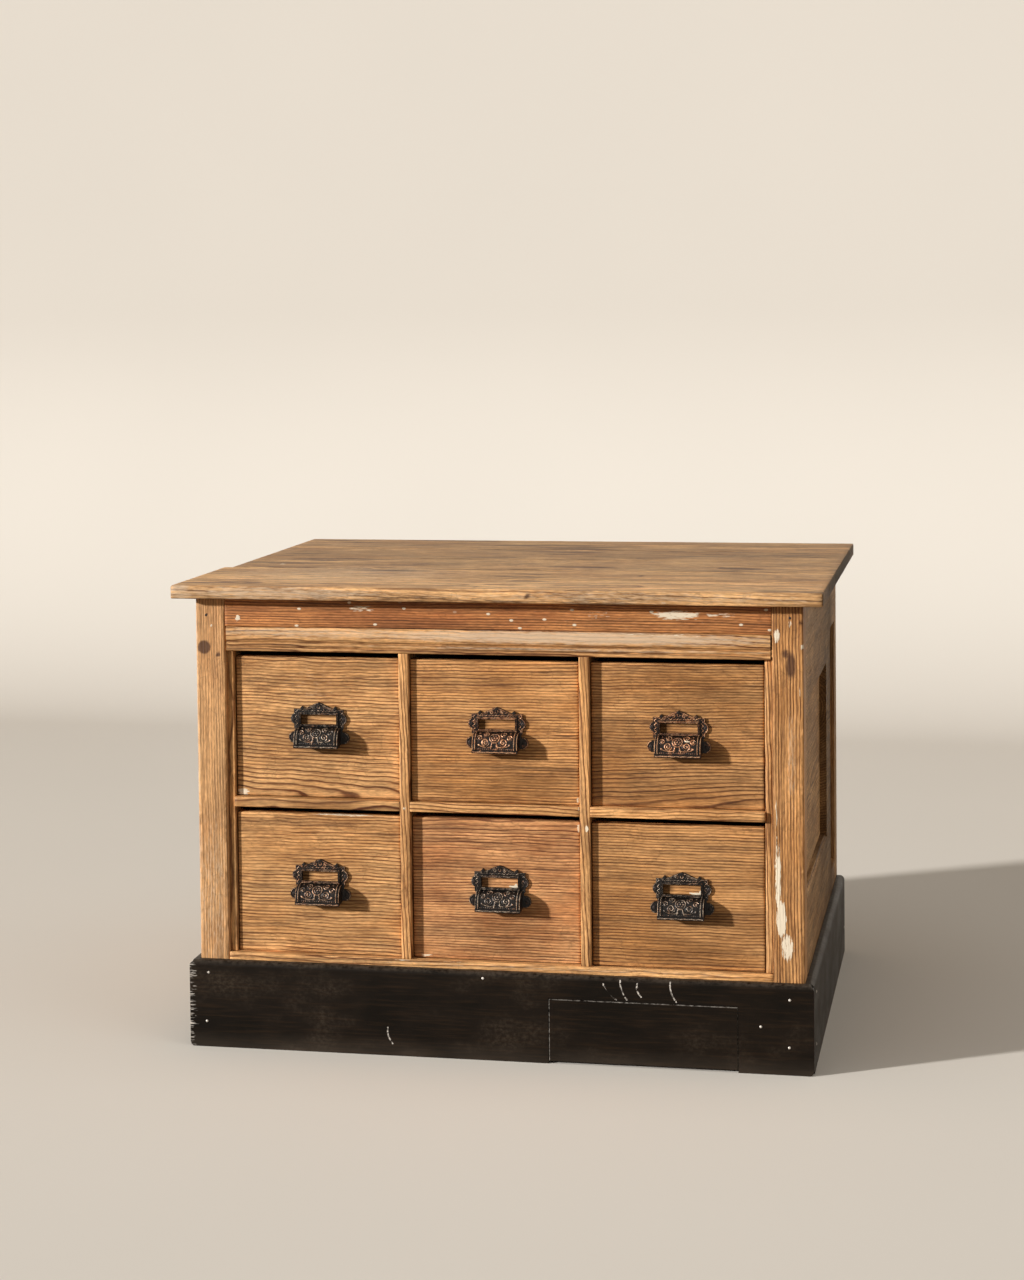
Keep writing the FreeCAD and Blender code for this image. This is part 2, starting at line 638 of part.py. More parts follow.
def plinth():
    """Boards nailed over the feet of the posts, with a patch let into the front one."""
    front = new_body("plinth_front_body", "0", "place.front", "0")
    face = new_sketch(front, "plinth_face", "XZ_Plane")
    half = "(place.side + size.plinth_thickness)"
    notch_left = "place.patch_left - size.patch_gap"
    notch_right = "place.patch_left + size.patch_width + size.patch_gap"
    notch_top = "size.patch_lift + size.patch_height + size.patch_gap"
    outline(face, [
        ("-" + half, "0"), (notch_left, "0"), (notch_left, notch_top), (notch_right, notch_top),
        (notch_right, "0"), (half, "0"), (half, "size.plinth_height"), ("-" + half, "size.plinth_height"),
    ])
    board = pad(front, face, "size.plinth_thickness")
    height = value_of("sizes.plinth_height")
    depth = value_of("sizes.plinth_thickness")
    rounded(front, board, lambda a, b: near(a.z, height) and near(b.z, height)
            and not (near(a.y, 0) and near(b.y, 0)), "size.plinth_round")
    node("plinth_front", front)

    patch = box("plinth_patch", "place.patch_left", "place.front - size.plinth_thickness", "size.patch_lift",
                "size.patch_width", "size.plinth_thickness", "size.patch_height")
    node("plinth_patch", patch)

    side = new_body("plinth_side_body", "-place.side", "0", "0")
    face = new_sketch(side, "plinth_side_face", "YZ_Plane")
    rectangle(face, "place.front", "0", "place.back - size.plinth_rear_gap", "size.plinth_height")
    board = pad(side, face, "size.plinth_thickness", backwards=True)
    rounded(side, board, lambda a, b: near(a.z, height) and near(b.z, height) and near(a.x, -depth)
            and near(b.x, -depth), "size.plinth_round")
    node("plinth_sides", group("plinth_sides", [side, mirrored("plinth_side_right", side, "0")]))


# The many small screws and their holes have flats all round, to stay light
HEAD_FLATS = 8
SHANK_FLATS = 6


def cup_radius(grow):
    """Radius of the cup's curve, grown all round. It ends upright at the cup's front."""
    reach = "(size.cup_projection - size.pull_plate + %s)" % grow
    rise = "(size.cup_shoulder + %s)" % grow
    return "(%s^2 + %s^2) / (2 * %s)" % (reach, rise, reach)


def pull(name, x, y, z):
    """A cast-iron pull: label frame with crest and lobes over a finger cup with screw ears.

    Its origin is the centre of the label window on the face of the drawer."""
    body = new_body(name + "_pull_body", x, y, z)

    def sketch(part, role="XZ_Plane", offset=None):
        return new_sketch(body, "%s_pull_%s" % (name, part), role, offset)

    half = "size.pull_frame_width / 2"
    flange = "(size.cup_width / 2 + size.cup_flange)"
    inner = "(size.cup_width / 2 - size.cup_wall)"
    low = "-(size.ear_drop + size.ear_radius)"
    neck = "-(size.pull_frame_bottom + size.flange_slope)"
    cup_top = "-(size.pull_frame_bottom + size.cup_wall)"

    plate = sketch("plate")
    outline(plate, [
        (half, "size.pull_frame_top"), ("-" + half, "size.pull_frame_top"),
        ("-" + half, "-size.pull_frame_bottom"), ("-" + flange, neck), ("-" + flange, low),
        ("-" + inner, low), ("-" + inner, cup_top), (inner, cup_top), (inner, low),
        (flange, low), (flange, neck), (half, "-size.pull_frame_bottom"),
    ])
    pad(body, plate, "size.pull_plate")

    crest = sketch("crest")
    cap_height = "size.pull_frame_top + size.crest_height"
    cap_radius = "(size.crest_cap_width^2 / 4 + size.crest_rise^2) / (2 * size.crest_rise)"
    outline(crest, [
        ("-size.crest_width / 2", "size.pull_frame_top"),
        ("size.crest_width / 2", "size.pull_frame_top", "size.crest_hollow_radius", -1),
        ("size.crest_cap_width / 2", cap_height, cap_radius, 1),
        ("-size.crest_cap_width / 2", cap_height, "size.crest_hollow_radius", -1),
    ])
    pad(body, crest, "size.pull_plate")

    finials = sketch("finials")
    side_finial = "size.pull_frame_top + size.finial_lift"
    for u, v in (("-size.finial_place", side_finial), ("size.finial_place", side_finial), ("0", cap_height)):
        outline(finials, [
            (u + " - size.finial_half", v), (u, v + " - size.finial_half"),
            (u + " + size.finial_half", v), (u, v + " + size.finial_half"),
        ])
    pad(body, finials, "size.pull_plate + size.finial_proud")

    lobes = sketch("lobes")
    for mirror in ("-", ""):
        circle(lobes, mirror + "size.lobe_place", "0", "size.lobe_radius")
        circle(lobes, mirror + "size.ear_place", "-size.ear_drop", "size.ear_radius")
    pad(body, lobes, "size.pull_plate")

    rim = sketch("rim")
    window_half = "size.window_width / 2"
    rim_half = "(size.window_width / 2 + size.rim_width)"
    rectangle(rim, "-" + rim_half, "-size.window_bottom - size.rim_width",
              rim_half, "size.window_top + size.rim_width")
    pad(body, rim, "size.pull_plate + size.rim_height")
    window = sketch("window")
    rectangle(window, "-" + window_half, "-size.window_bottom", window_half, "size.window_top")
    pocket(body, window, "size.pull_plate + size.rim_height", backwards=True)

    def cup_profile(part, grow, low_z, back_z):
        """Side view of the cup, grown all round, down to low_z in front and back_z at the drawer."""
        profile = sketch(part, "YZ_Plane")
        top_z = "-(size.pull_frame_bottom - (%s))" % grow
        front_y = "-(size.cup_projection + %s)" % grow
        outline(profile, [
            ("0", top_z),
            ("-size.pull_plate", top_z, cup_radius(grow), 1),
            (front_y, "-(size.pull_frame_bottom + size.cup_shoulder)"),
            (front_y, low_z),
            ("0", back_z),
        ])
        return profile

    cup = cup_profile("cup", "0", "-size.cup_bottom", "-size.cup_bottom + size.cup_end_rise")
    pad(body, cup, "size.cup_width", symmetric=True)
    hollow_low = "-size.cup_bottom - size.cup_wall"
    hollow = cup_profile("hollow", "-size.cup_wall", hollow_low, hollow_low)
    pocket(body, hollow, "2 * " + inner, symmetric=True)

    lip = sketch("lip", "YZ_Plane")
    circle(lip, "-(size.cup_projection - size.cup_wall / 2)", "-size.cup_bottom + size.cup_lip_radius",
           "size.cup_lip_radius")
    pad(body, lip, "size.cup_width", symmetric=True)

    rib_foot = "-size.cup_bottom + 2 * size.cup_lip_radius"
    shoulder_z = "-(size.pull_frame_bottom + size.cup_shoulder)"
    core = "-size.cup_wall / 2"
    rib_top = "-(size.pull_frame_bottom - size.cup_rib_height)"
    rib = sketch("rib", "YZ_Plane", "size.cup_rib_place")
    outline(rib, [
        ("-size.pull_plate", rib_top, cup_radius("size.cup_rib_height"), 1),
        ("-(size.cup_projection + size.cup_rib_height)", shoulder_z),
        ("-(size.cup_projection + size.cup_rib_height)", rib_foot),
        ("-(size.cup_projection - size.cup_wall / 2)", rib_foot),
        ("-(size.cup_projection - size.cup_wall / 2)", shoulder_z, cup_radius(core), -1),
        ("-size.pull_plate", "-(size.pull_frame_bottom + size.cup_wall / 2)"),
    ])
    one_rib = pad(body, rib, "size.cup_rib_width")
    other_rib = body.newObject("PartDesign::Mirrored", name + "_pull_other_rib")
    other_rib.Originals = [one_rib]
    other_rib.MirrorPlane = (origin_plane(body, "YZ_Plane"), [""])
    body.Tip = other_rib

    holes = sketch("holes")
    hole_radius = "size.screw_shank_radius + size.screw_hole_gap"
    for mirror in ("-", ""):
        flat_sided(holes, mirror + "size.lobe_screw_place", "0", hole_radius, SHANK_FLATS)
        flat_sided(holes, mirror + "size.ear_screw_place", "-size.ear_drop", hole_radius, SHANK_FLATS)
    pocket(body, holes, "size.pull_plate", backwards=True)
    node(name + "_pull", body)

    screws = []
    seat = "%s - size.pull_plate" % y
    towards_front = FreeCAD.Rotation(FreeCAD.Vector(1, 0, 0), 90)
    for mirror, label in (("-", "left"), ("+", "right")):
        for spot, screw_x, screw_z in (("lobe", "size.lobe_screw_place", z),
                                       ("ear", "size.ear_screw_place", z + " - size.ear_drop")):
            head = doc.addObject("Part::Prism", "%s_%s_%s_head" % (name, spot, label))
            head.Polygon = HEAD_FLATS
            head.setExpression("Circumradius", sized("size.screw_head_radius"))
            head.setExpression("Height", sized("size.screw_head_height"))
            shank = doc.addObject("Part::Prism", "%s_%s_%s_shank" % (name, spot, label))
            shank.Polygon = SHANK_FLATS
            shank.setExpression("Circumradius", sized("size.screw_shank_radius"))
            shank.setExpression("Height", sized("size.screw_length"))
            for piece in (head, shank):
                piece.Placement.Rotation = towards_front
            centre = "%s %s %s" % (x, mirror, screw_x)
            place(head, centre, seat, screw_z)
            place(shank, centre, seat + " + size.screw_length", screw_z)
            screws.append(fused("%s_%s_%s_screw" % (name, spot, label), [head, shank]))
    node(name + "_pull_screws", group(name + "_pull_screws", screws))


stops = []


def drawer(name, column, level):
    """One drawer: lapped dovetails in front, the bottom in grooves, the back over the bottom."""
    middle = "%d * place.bay_pitch" % column
    face = "place.front + size.%s_setback" % name
    floor = "place." + level

    bottom = box(name + "_bottom_board", middle + " - place.drawer_inner / 2 - size.drawer_groove_depth",
                 face + " + size.front_thickness - size.drawer_groove_depth",
                 floor + " + size.drawer_groove_height",
                 "place.drawer_inner + 2 * size.drawer_groove_depth",
                 "size.drawer_length - size.front_thickness + size.drawer_groove_depth",
                 "size.drawer_bottom_thickness")
    node(name + "_bottom", bottom)

    side = new_body(name + "_side_body", middle + " - place.front_width / 2", face, floor)
    board = new_sketch(side, name + "_side_board", "YZ_Plane")
    rectangle(board, "size.front_thickness", "0", "size.drawer_length", "size.drawer_side_height")
    pad(side, board, "size.drawer_side_thickness")
    tail = new_sketch(side, name + "_tail", "YZ_Plane")
    outline(tail, [
        ("size.front_thickness", "place.tail_pitch / 2 - place.tail_narrow / 2"),
        ("size.front_thickness", "place.tail_pitch / 2 + place.tail_narrow / 2"),
        ("size.front_lap", "place.tail_pitch / 2 + place.tail_narrow / 2 + place.tail_flare"),
        ("size.front_lap", "place.tail_pitch / 2 - place.tail_narrow / 2 - place.tail_flare"),
    ])
    first_tail = pad(side, tail, "size.drawer_side_thickness")
    tails = side.newObject("PartDesign::LinearPattern", name + "_tails")
    tails.Originals = [first_tail]
    tails.Direction = (tail, ["V_Axis"])
    tails.setExpression("Length", sized("(size.tail_count - 1) * place.tail_pitch"))
    tails.setExpression("Occurrences", sized("size.tail_count"))
    side.Tip = tails
    pair = group(name + "_side_pair", [side, mirrored(name + "_other_side", side, middle)])
    node(name + "_sides", cut(name + "_grooved_sides", pair, bottom))

    front = new_body(name + "_front_body", middle, face, floor + " + size.front_bottom_gap")
    outline_sketch = new_sketch(front, name + "_front_face", "XZ_Plane")
    rectangle(outline_sketch, "-place.front_width / 2", "0", "place.front_width / 2", "place.front_height")
    slab = pad(front, outline_sketch, "size.front_thickness", backwards=True)
    rounded(front, slab, lambda a, b: near(a.y, 0) and near(b.y, 0), "size.front_arris", "Chamfer")
    joints = fused(name + "_front_joints", [pair, bottom])
    node(name + "_front", cut(name + "_jointed_front", front, joints))

    node(name + "_back", box(name + "_back_board", middle + " - place.drawer_inner / 2",
                             face + " + size.drawer_length - size.drawer_back_thickness",
                             floor + " + place.bottom_top", "place.drawer_inner",
                             "size.drawer_back_thickness", "place.back_height"))

    pull(name, "%s + size.%s_pull_shift" % (middle, name), face,
         floor + " + size.front_bottom_gap + size.pull_height")

    for edge in (-1, 1):
        reach = "" if edge < 0 else " - size.runner_reach"
        x = "%s + (%d) * place.bay_width / 2%s" % (middle, edge, reach)
        rear = face + " + size.drawer_length"
        stops.append(box("%s_stop_%d" % (name, edge + 1), x, rear, floor, "size.runner_reach",
                         "place.back_boards_front - (%s)" % rear, "size.stop_height"))


front_frame()
back_frame()
posts()
side_frames()
drawer_bearers()
top()
plinth()
for level_name, level_place in (("top", "cross_top"), ("bottom", "rail_top")):
    for column_name, column_number in (("left", -1), ("middle", 0), ("right", 1)):
        drawer(level_name + "_" + column_name, column_number, level_place)
node("drawer_stops", group("stop_group", stops))

doc.recompute()

# Every object must have built, and every piece must be whole, before anything is written
for thing in doc.Objects:
    if "Invalid" in thing.State or "Error" in thing.State:
        raise RuntimeError("%s did not build: %s" % (thing.Name, thing.State))
for feature in pockets:
    if feature.Shape.Volume >= feature.BaseFeature.Shape.Volume:
        raise RuntimeError(feature.Name + " cuts nothing")
for label, thing in nodes:
    if thing.Shape.isNull() or not thing.Shape.isValid() or not thing.Shape.Solids:
        raise RuntimeError(label + " is not a whole solid")

os.makedirs("parts", exist_ok=True)
for label, thing in nodes:
    thing.Shape.exportStep(os.path.join("parts", label + ".step"))
    print(label, len(thing.Shape.Solids), "solids", round(thing.Shape.Volume / 1000), "cm3")
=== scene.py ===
import math
import random

import bmesh
import bpy
import numpy as np
from mathutils import Matrix, Vector, noise


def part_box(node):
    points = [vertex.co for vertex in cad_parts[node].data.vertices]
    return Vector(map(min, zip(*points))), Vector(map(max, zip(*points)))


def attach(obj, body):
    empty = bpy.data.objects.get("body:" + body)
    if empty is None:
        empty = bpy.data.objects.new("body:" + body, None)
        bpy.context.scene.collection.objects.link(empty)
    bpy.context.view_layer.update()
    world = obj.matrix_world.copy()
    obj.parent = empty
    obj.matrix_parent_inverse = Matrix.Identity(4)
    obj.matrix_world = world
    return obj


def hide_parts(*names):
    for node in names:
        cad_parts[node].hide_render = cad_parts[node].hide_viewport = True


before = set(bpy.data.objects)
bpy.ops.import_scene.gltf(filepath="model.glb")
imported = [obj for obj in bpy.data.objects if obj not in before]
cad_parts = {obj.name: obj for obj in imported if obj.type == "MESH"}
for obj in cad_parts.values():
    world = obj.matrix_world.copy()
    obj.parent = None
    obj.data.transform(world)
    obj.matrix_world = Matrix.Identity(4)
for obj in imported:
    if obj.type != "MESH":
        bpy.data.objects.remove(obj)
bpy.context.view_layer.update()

# Metres, in the row frame: +X right, the drawers face -Y, +Z up, the floor at 0
MM = 0.001
TOP_LOW, TOP_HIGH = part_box("top_boards")
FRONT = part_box("front_post_right")[0].y
POST_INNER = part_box("front_post_right")[0].x
PLINTH_LOW, PLINTH_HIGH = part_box("plinth_front")
PATCH_LOW, PATCH_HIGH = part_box("plinth_patch")

# Screen colours of dirt, cracks, whitewash, knots and paint on the wood
SMEAR = (84, 58, 36)
GRIME = (88, 52, 28)
CRACK = (46, 27, 16)
CHALK = (226, 200, 170)
KNOT = (62, 34, 24)
OLD_PAINT = (238, 224, 200)

# How much clean wood shines
SHEEN = 0.3


# Shader helpers
def srgb(red, green, blue):
    """A colour given in screen values, as the linear colour that shaders take."""
    linear = []
    for part in (red, green, blue):
        part = part / 255
        linear.append(part / 12.92 if part <= 0.04045 else ((part + 0.055) / 1.055) ** 2.4)
    return (*linear, 1.0)


class Shader:
    """One material's nodes, with short names for the ones used most."""

    def __init__(self, name, world=False):
        self.material = (bpy.data.worlds if world else bpy.data.materials).new(name)
        self.material.use_nodes = True
        self.tree = self.material.node_tree
        self.surface = self.tree.nodes["Background" if world else "Principled BSDF"]

    def new(self, kind, **settings):
        made = self.tree.nodes.new("ShaderNode" + kind)
        for key, value in settings.items():
            setattr(made, key, value)
        return made

    def feed(self, socket, value):
        if isinstance(value, bpy.types.NodeSocket):
            self.tree.links.new(value, socket)
        else:
            socket.default_value = value

    def give(self, name, value):
        """Feed an input of the surface."""
        self.feed(self.surface.inputs[name], value)

    def math(self, operation, *values, clamp=False):
        made = self.new("Math", operation=operation, use_clamp=clamp)
        for socket, value in zip(made.inputs, values):
            self.feed(socket, value)
        return made.outputs[0]

    def times(self, first, second):
        return self.math("MULTIPLY", first, second)

    def plus(self, first, second):
        return self.math("ADD", first, second)

    def less(self, first, second):
        return self.math("SUBTRACT", first, second)

    def most(self, first, second):
        return self.math("MAXIMUM", first, second)

    def away(self, first, second):
        """The distance between two values."""
        return self.math("ABSOLUTE", self.less(first, second))

    def line(self, value, gain, base, clamp=False):
        """value * gain + base."""
        return self.math("MULTIPLY_ADD", value, gain, base, clamp=clamp)

    def rise(self, value, start, gain):
        """0 at start, rising to 1 with that gain, or towards lower values if the gain is negative."""
        return self.math("MULTIPLY", self.less(value, start), gain, clamp=True)

    def ragged(self, mark, grit, gain):
        """A mark whose edge is broken up by noise."""
        return self.line(self.less(grit, 0.5), gain, mark)

    def vector(self, operation, *values):
        made = self.new("VectorMath", operation=operation)
        for socket, value in zip(made.inputs, values):
            self.feed(socket, value)
        return made.outputs["Value" if operation in ("LENGTH", "DOT_PRODUCT") else "Vector"]

    def bright(self, colour, factor):
        made = self.new("VectorMath", operation="SCALE")
        self.feed(made.inputs[0], colour)
        self.feed(made.inputs["Scale"], factor)
        return made.outputs[0]

    def mix(self, factor, first, second):
        """A blend of two colours, each a socket or three screen values."""
        made = self.new("Mix", data_type="RGBA")
        self.feed(made.inputs[0], factor)
        for socket, colour in ((made.inputs[6], first), (made.inputs[7], second)):
            self.feed(socket, srgb(*colour) if isinstance(colour, tuple) else colour)
        return made.outputs[2]

    def parts(self, value, kind="XYZ"):
        """The channels of a place or a colour."""
        split = self.new("Separate" + kind)
        self.feed(split.inputs[0], value)
        return split.outputs

    def attribute(self, name):
        return self.new("Attribute", attribute_name=name)

    def noise(self, vector, factors, detail=2.0, rough=0.5):
        made = self.new("TexNoise")
        self.feed(made.inputs["Vector"], self.vector("MULTIPLY", vector, factors))
        made.inputs["Scale"].default_value = 1.0
        made.inputs["Detail"].default_value = detail
        made.inputs["Roughness"].default_value = rough
        return made.outputs["Fac"]

    def dots(self, vector, factors, radius, gain, share, dimensions="3D"):
        """Scattered round dots, 1 inside and 0 outside, in about that share of the cells."""
        cells = self.new("TexVoronoi", voronoi_dimensions=dimensions)
        self.feed(cells.inputs["Vector"], self.vector("MULTIPLY", vector, factors))
        cells.inputs["Scale"].default_value = 1.0
        chosen = self.rise(self.parts(cells.outputs["Color"], "Color")[0], 1.0 - share, 20)
        return self.times(self.rise(cells.outputs["Distance"], radius, -gain), chosen)

    def looked_at(self):
        """1 for the camera, for reflections and through clear things, 0 for light thrown on things."""
        path = self.new("LightPath")
        direct = self.most(path.outputs["Is Camera Ray"], path.outputs["Is Glossy Ray"])
        return self.most(direct, path.outputs["Is Transmission Ray"])

    def bump(self, height, distance):
        made = self.new("Bump")
        made.inputs["Distance"].default_value = distance
        self.feed(made.inputs["Height"], height)
        self.give("Normal", made.outputs[0])


def wood(name, light, mid, late, ring, contrast, wave, dirt=0.35, rough=0.55, specks=0.0, soiled=0.0):
    """Pine, in each board's own coordinates: growth rings round a pith, fibres, wear, dirt and marks.

    ring is the spacing of the rings and wave how far they wander, both in millimetres."""
    s = Shader(name)
    grain = s.attribute("grain").outputs["Vector"]
    tone = s.attribute("tone").outputs["Fac"]
    marks = s.attribute("marks")
    stain, paint, wash = s.parts(marks.outputs["Color"], "Color")
    shade = marks.outputs["Alpha"]

    def swing(factors, amount, detail=2.0):
        """Noise about zero."""
        return s.times(s.less(s.noise(grain, factors, detail), 0.5), amount)

    radius = s.vector("LENGTH", s.vector("MULTIPLY", grain, (0, 1, 1)))
    bends = (((2.4, 13, 13), 14, 2.0), ((15, 10, 10), wave, 1.0), ((30, 80, 80), 1.4, 2.0))
    for factors, reach, detail in bends:
        radius = s.plus(radius, swing(factors, reach * MM, detail))
    rings = s.math("DIVIDE", radius, ring * MM)
    vary = s.new("TexWhiteNoise", noise_dimensions="1D")
    s.feed(vary.inputs["W"], s.math("FLOOR", rings))
    ramp = s.new("ValToRGB")
    s.feed(ramp.inputs[0], s.math("FRACT", rings))
    stops = ((0.0, 0.35), (0.1, 0.0), (0.5, 0.05), (0.7, 0.45), (0.82, 1.0), (0.94, 0.9), (1.0, 0.35))
    while len(ramp.color_ramp.elements) < len(stops):
        ramp.color_ramp.elements.new(0.5)
    for element, (where, value) in zip(ramp.color_ramp.elements, stops):
        element.position = where
        element.color = (value, value, value, 1)
    lateness = s.times(ramp.outputs[0], s.line(vary.outputs["Value"], 0.5, 0.5))

    # Sanded patches lose most of their rings
    sanded = s.rise(s.noise(grain, (4.5, 11, 11), 4.0, 0.65), 0.52, 5.0)
    blotch = s.noise(grain, (6, 14, 14), 4.0, 0.65)
    streaks = s.noise(grain, (3.5, 190, 190), 3.0, 0.6)
    colour = s.mix(s.rise(blotch, 0.38, 4.0), light, mid)
    colour = s.mix(s.times(lateness, s.line(sanded, -0.85 * contrast, contrast)), colour, late)
    dashes = s.rise(s.noise(grain, (12, 330, 330), 3.0, 0.7), 0.53, 8.0)
    colour = s.mix(s.times(dashes, 0.5 * contrast), colour, late)
    fibres = (((28, 1300, 1300), 0.5), ((90, 460, 460), 1.1), ((8, 520, 520), 1.2), ((3, 150, 150), 0.9),
              ((2.2, 40, 40), 0.8))
    for factors, amount in fibres:
        colour = s.bright(colour, s.plus(swing(factors, amount), 1.0))
    if soiled:
        smear = s.rise(s.noise(grain, (4.5, 42, 42), 6.0, 0.75), 0.535, 12.0)
        colour = s.mix(s.times(smear, soiled), colour, SMEAR)
    cloud = s.noise(grain, (8, 13, 13), 4.0, 0.65)
    tide = s.rise(s.away(cloud, 0.56), 0.012, -90)
    tones = ((tone, 0.25, 1.0), (sanded, 0.1, 0.97), (cloud, 0.9, 0.55), (tide, -0.22, 1.0))
    for value, gain, base in tones:
        colour = s.bright(colour, s.line(value, gain, base))

    # Dirt, drying cracks and shade
    dirt_and_painted_shadow = s.times(s.rise(streaks, 0.54, 5.0), s.rise(blotch, 0.46, 4.0))
    colour = s.mix(s.times(dirt_and_painted_shadow, dirt), colour, GRIME)
    checks = s.times(s.rise(s.noise(grain, (1.6, 330, 330), 0.0), 0.77, 18), dirt)
    colour = s.mix(checks, colour, CRACK)
    colour = s.bright(colour, s.line(shade, -0.5, 1.0))

    # Whitewash, knots and stains, and remnants of paint
    pores = s.noise(grain, (60, 420, 420), 2.0, 0.7)
    colour = s.mix(s.times(s.rise(s.ragged(wash, pores, 1.3), 0.25, 1.6), 0.72), colour, CHALK)
    knot = s.ragged(s.ragged(stain, blotch, 0.9), pores, 0.5)
    colour = s.mix(s.times(s.rise(knot, 0.3, 2.2), 0.85), colour, KNOT)
    painted = s.rise(s.ragged(paint, pores, 1.3), 0.5, 7)
    if specks:
        painted = s.most(painted, s.dots(grain, (22, 38, 38), 0.085, 30, specks, "2D"))
    colour = s.mix(painted, colour, OLD_PAINT)

    s.give("Base Color", colour)
    s.give("Roughness", s.line(streaks, 0.3, rough - 0.15))
    s.give("Specular IOR Level", s.line(shade, -0.5 * SHEEN, SHEEN, clamp=True))
    height = s.line(lateness, 0.6, swing((8, 520, 520), 2.0))
    height = s.line(s.noise(grain, (18, 40, 40)), 2.0, height)
    height = s.line(checks, -3.0, height)
    s.bump(s.line(painted, 0.6, height), 0.35 * MM)
    return s.material


def worn_black_paint(name, joint=None, scratches=()):
    """Old black paint over wood, dusty near its foot, worn and given a painted highlight along its top
    edge, with nicks, scratches and pale spots.

    joint is the left end, right end and top of a patch, which show as pale lines. A scratch is given as
    the x and z of its two ends."""
    s = Shader(name)
    place = s.new("TexCoord").outputs["Object"]
    x, y, z = s.parts(place)
    grain = s.noise(place, (14, 300, 300), 2.0, 0.6)
    cloud = s.noise(place, (8, 8, 14), 3.0, 0.6)
    chips = s.noise(place, (130, 130, 180), 3.0, 0.65)
    colour = s.mix(s.rise(cloud, 0.38, 3.0), (12, 7, 3), (27, 18, 10))
    colour = s.mix(s.times(s.rise(grain, 0.5, 3.5), 0.35), colour, (56, 40, 25))
    dull = s.times(s.rise(cloud, 0.52, 5.0), s.rise(chips, 0.42, 4.0))
    colour = s.mix(s.times(dull, 0.45), colour, (78, 68, 56))
    # Pale band along the rounded top edge: worn paint and a painted highlight
    crest = s.times(s.rise(z, PLINTH_HIGH.z - 6.5 * MM, 160), s.rise(chips, 0.36, 4.0))
    foot = s.times(s.rise(z, 30 * MM, -30), 0.5)
    colour = s.mix(s.most(s.times(crest, 0.5), s.times(foot, cloud)), colour, (92, 82, 72))

    # Nicks at the left end of the front
    end = s.times(s.rise(x, PLINTH_LOW.x + 25 * MM, -50), s.rise(y, PLINTH_LOW.y + 8 * MM, -190))
    nicks = s.noise(place, (50, 60, 760), 2.0, 0.6)
    pale = s.rise(s.ragged(s.times(end, 0.62), nicks, 2.4), 0.8, 7)
    if joint:
        left, right, top = joint
        gap = s.math("MINIMUM", s.away(x, left), s.away(z, top))
        gap = s.math("MINIMUM", gap, s.times(s.away(x, right), 2.0))
        pale = s.most(pale, s.times(s.rise(gap, 1.5 * MM, -900), s.rise(chips, 0.38, 1.6)))
    for start_x, start_z, end_x, end_z in scratches:
        line = scratch(s, place, Vector((start_x, 0, start_z)), Vector((end_x, 0, end_z)))
        pale = s.most(pale, s.times(line, s.rise(chips, 0.4, 6)))
    pale = s.most(pale, s.dots(place, (24, 24, 24), 0.045, 60, 0.32))
    s.give("Base Color", s.mix(pale, colour, (222, 214, 204)))
    s.give("Roughness", s.line(cloud, 0.4, 0.26))
    s.give("Specular IOR Level", 0.13)
    height = s.line(grain, 0.8, s.times(cloud, 1.5))
    s.bump(s.line(pale, -0.8, height), 0.5 * MM)
    return s.material


def scratch(s, place, start, end):
    """A thin bowed line on a face that looks forward: 1 on the line between two points, 0 away from it."""
    along = end - start
    reach = s.vector("SUBTRACT", place, start)
    share = s.math("ADD", s.vector("DOT_PRODUCT", reach, along / along.length_squared), 0.0, clamp=True)
    bow = s.times(s.times(share, s.less(1.0, share)), 12 * MM)
    aside, _, over = s.parts(s.vector("SUBTRACT", reach, s.bright(tuple(along), share)))
    gap = s.most(s.math("ABSOLUTE", s.plus(aside, bow)), s.math("ABSOLUTE", over))
    return s.rise(gap, 1.4 * MM, -1500)


def iron(name, ground, metal, warm, bright, rubbed_and_glint, metallic=0.45, rough=0.45):
    """Cast iron, dark in its hollows, warmer in patches, and worn bright where it stands proud, with
    painted glints there and in fine specks.
    """
    s = Shader(name)
    place = s.new("TexCoord").outputs["Object"]
    relief = s.attribute("relief").outputs["Fac"]
    paint = s.parts(s.attribute("marks").outputs["Color"], "Color")[1]
    cast = s.noise(place, (900, 900, 900), 3.0, 0.6)
    cloud = s.noise(place, (150, 150, 150), 3.0, 0.6)
    patches = s.rise(s.noise(place, (60, 60, 60), 2.0, 0.6), 0.46, 6.0)
    wear = s.line(cast, 1.1, s.line(cloud, 1.5, s.line(relief, 0.6, rubbed_and_glint - 1.3)))
    colour = s.mix(s.rise(wear, 0.3, 2.6), ground, s.mix(patches, metal, warm))
    # Painted glints: the brightest colour on proud parts and in fine specks, standing in for highlights
    glint = s.line(cast, 2.1, s.line(cloud, 0.9, s.line(relief, 0.6, rubbed_and_glint * 0.5 - 1.5)))
    colour = s.mix(s.times(s.rise(glint, 0.55, 4), 0.85), colour, bright)
    painted = s.rise(s.ragged(paint, cloud, 1.3), 0.5, 7)
    s.give("Base Color", s.mix(painted, colour, (232, 214, 186)))
    s.give("Metallic", metallic)
    s.give("Roughness", s.line(cloud, 0.3, rough - 0.15))
    s.bump(s.line(cloud, 1.5, cast), 0.14 * MM)
    return s.material


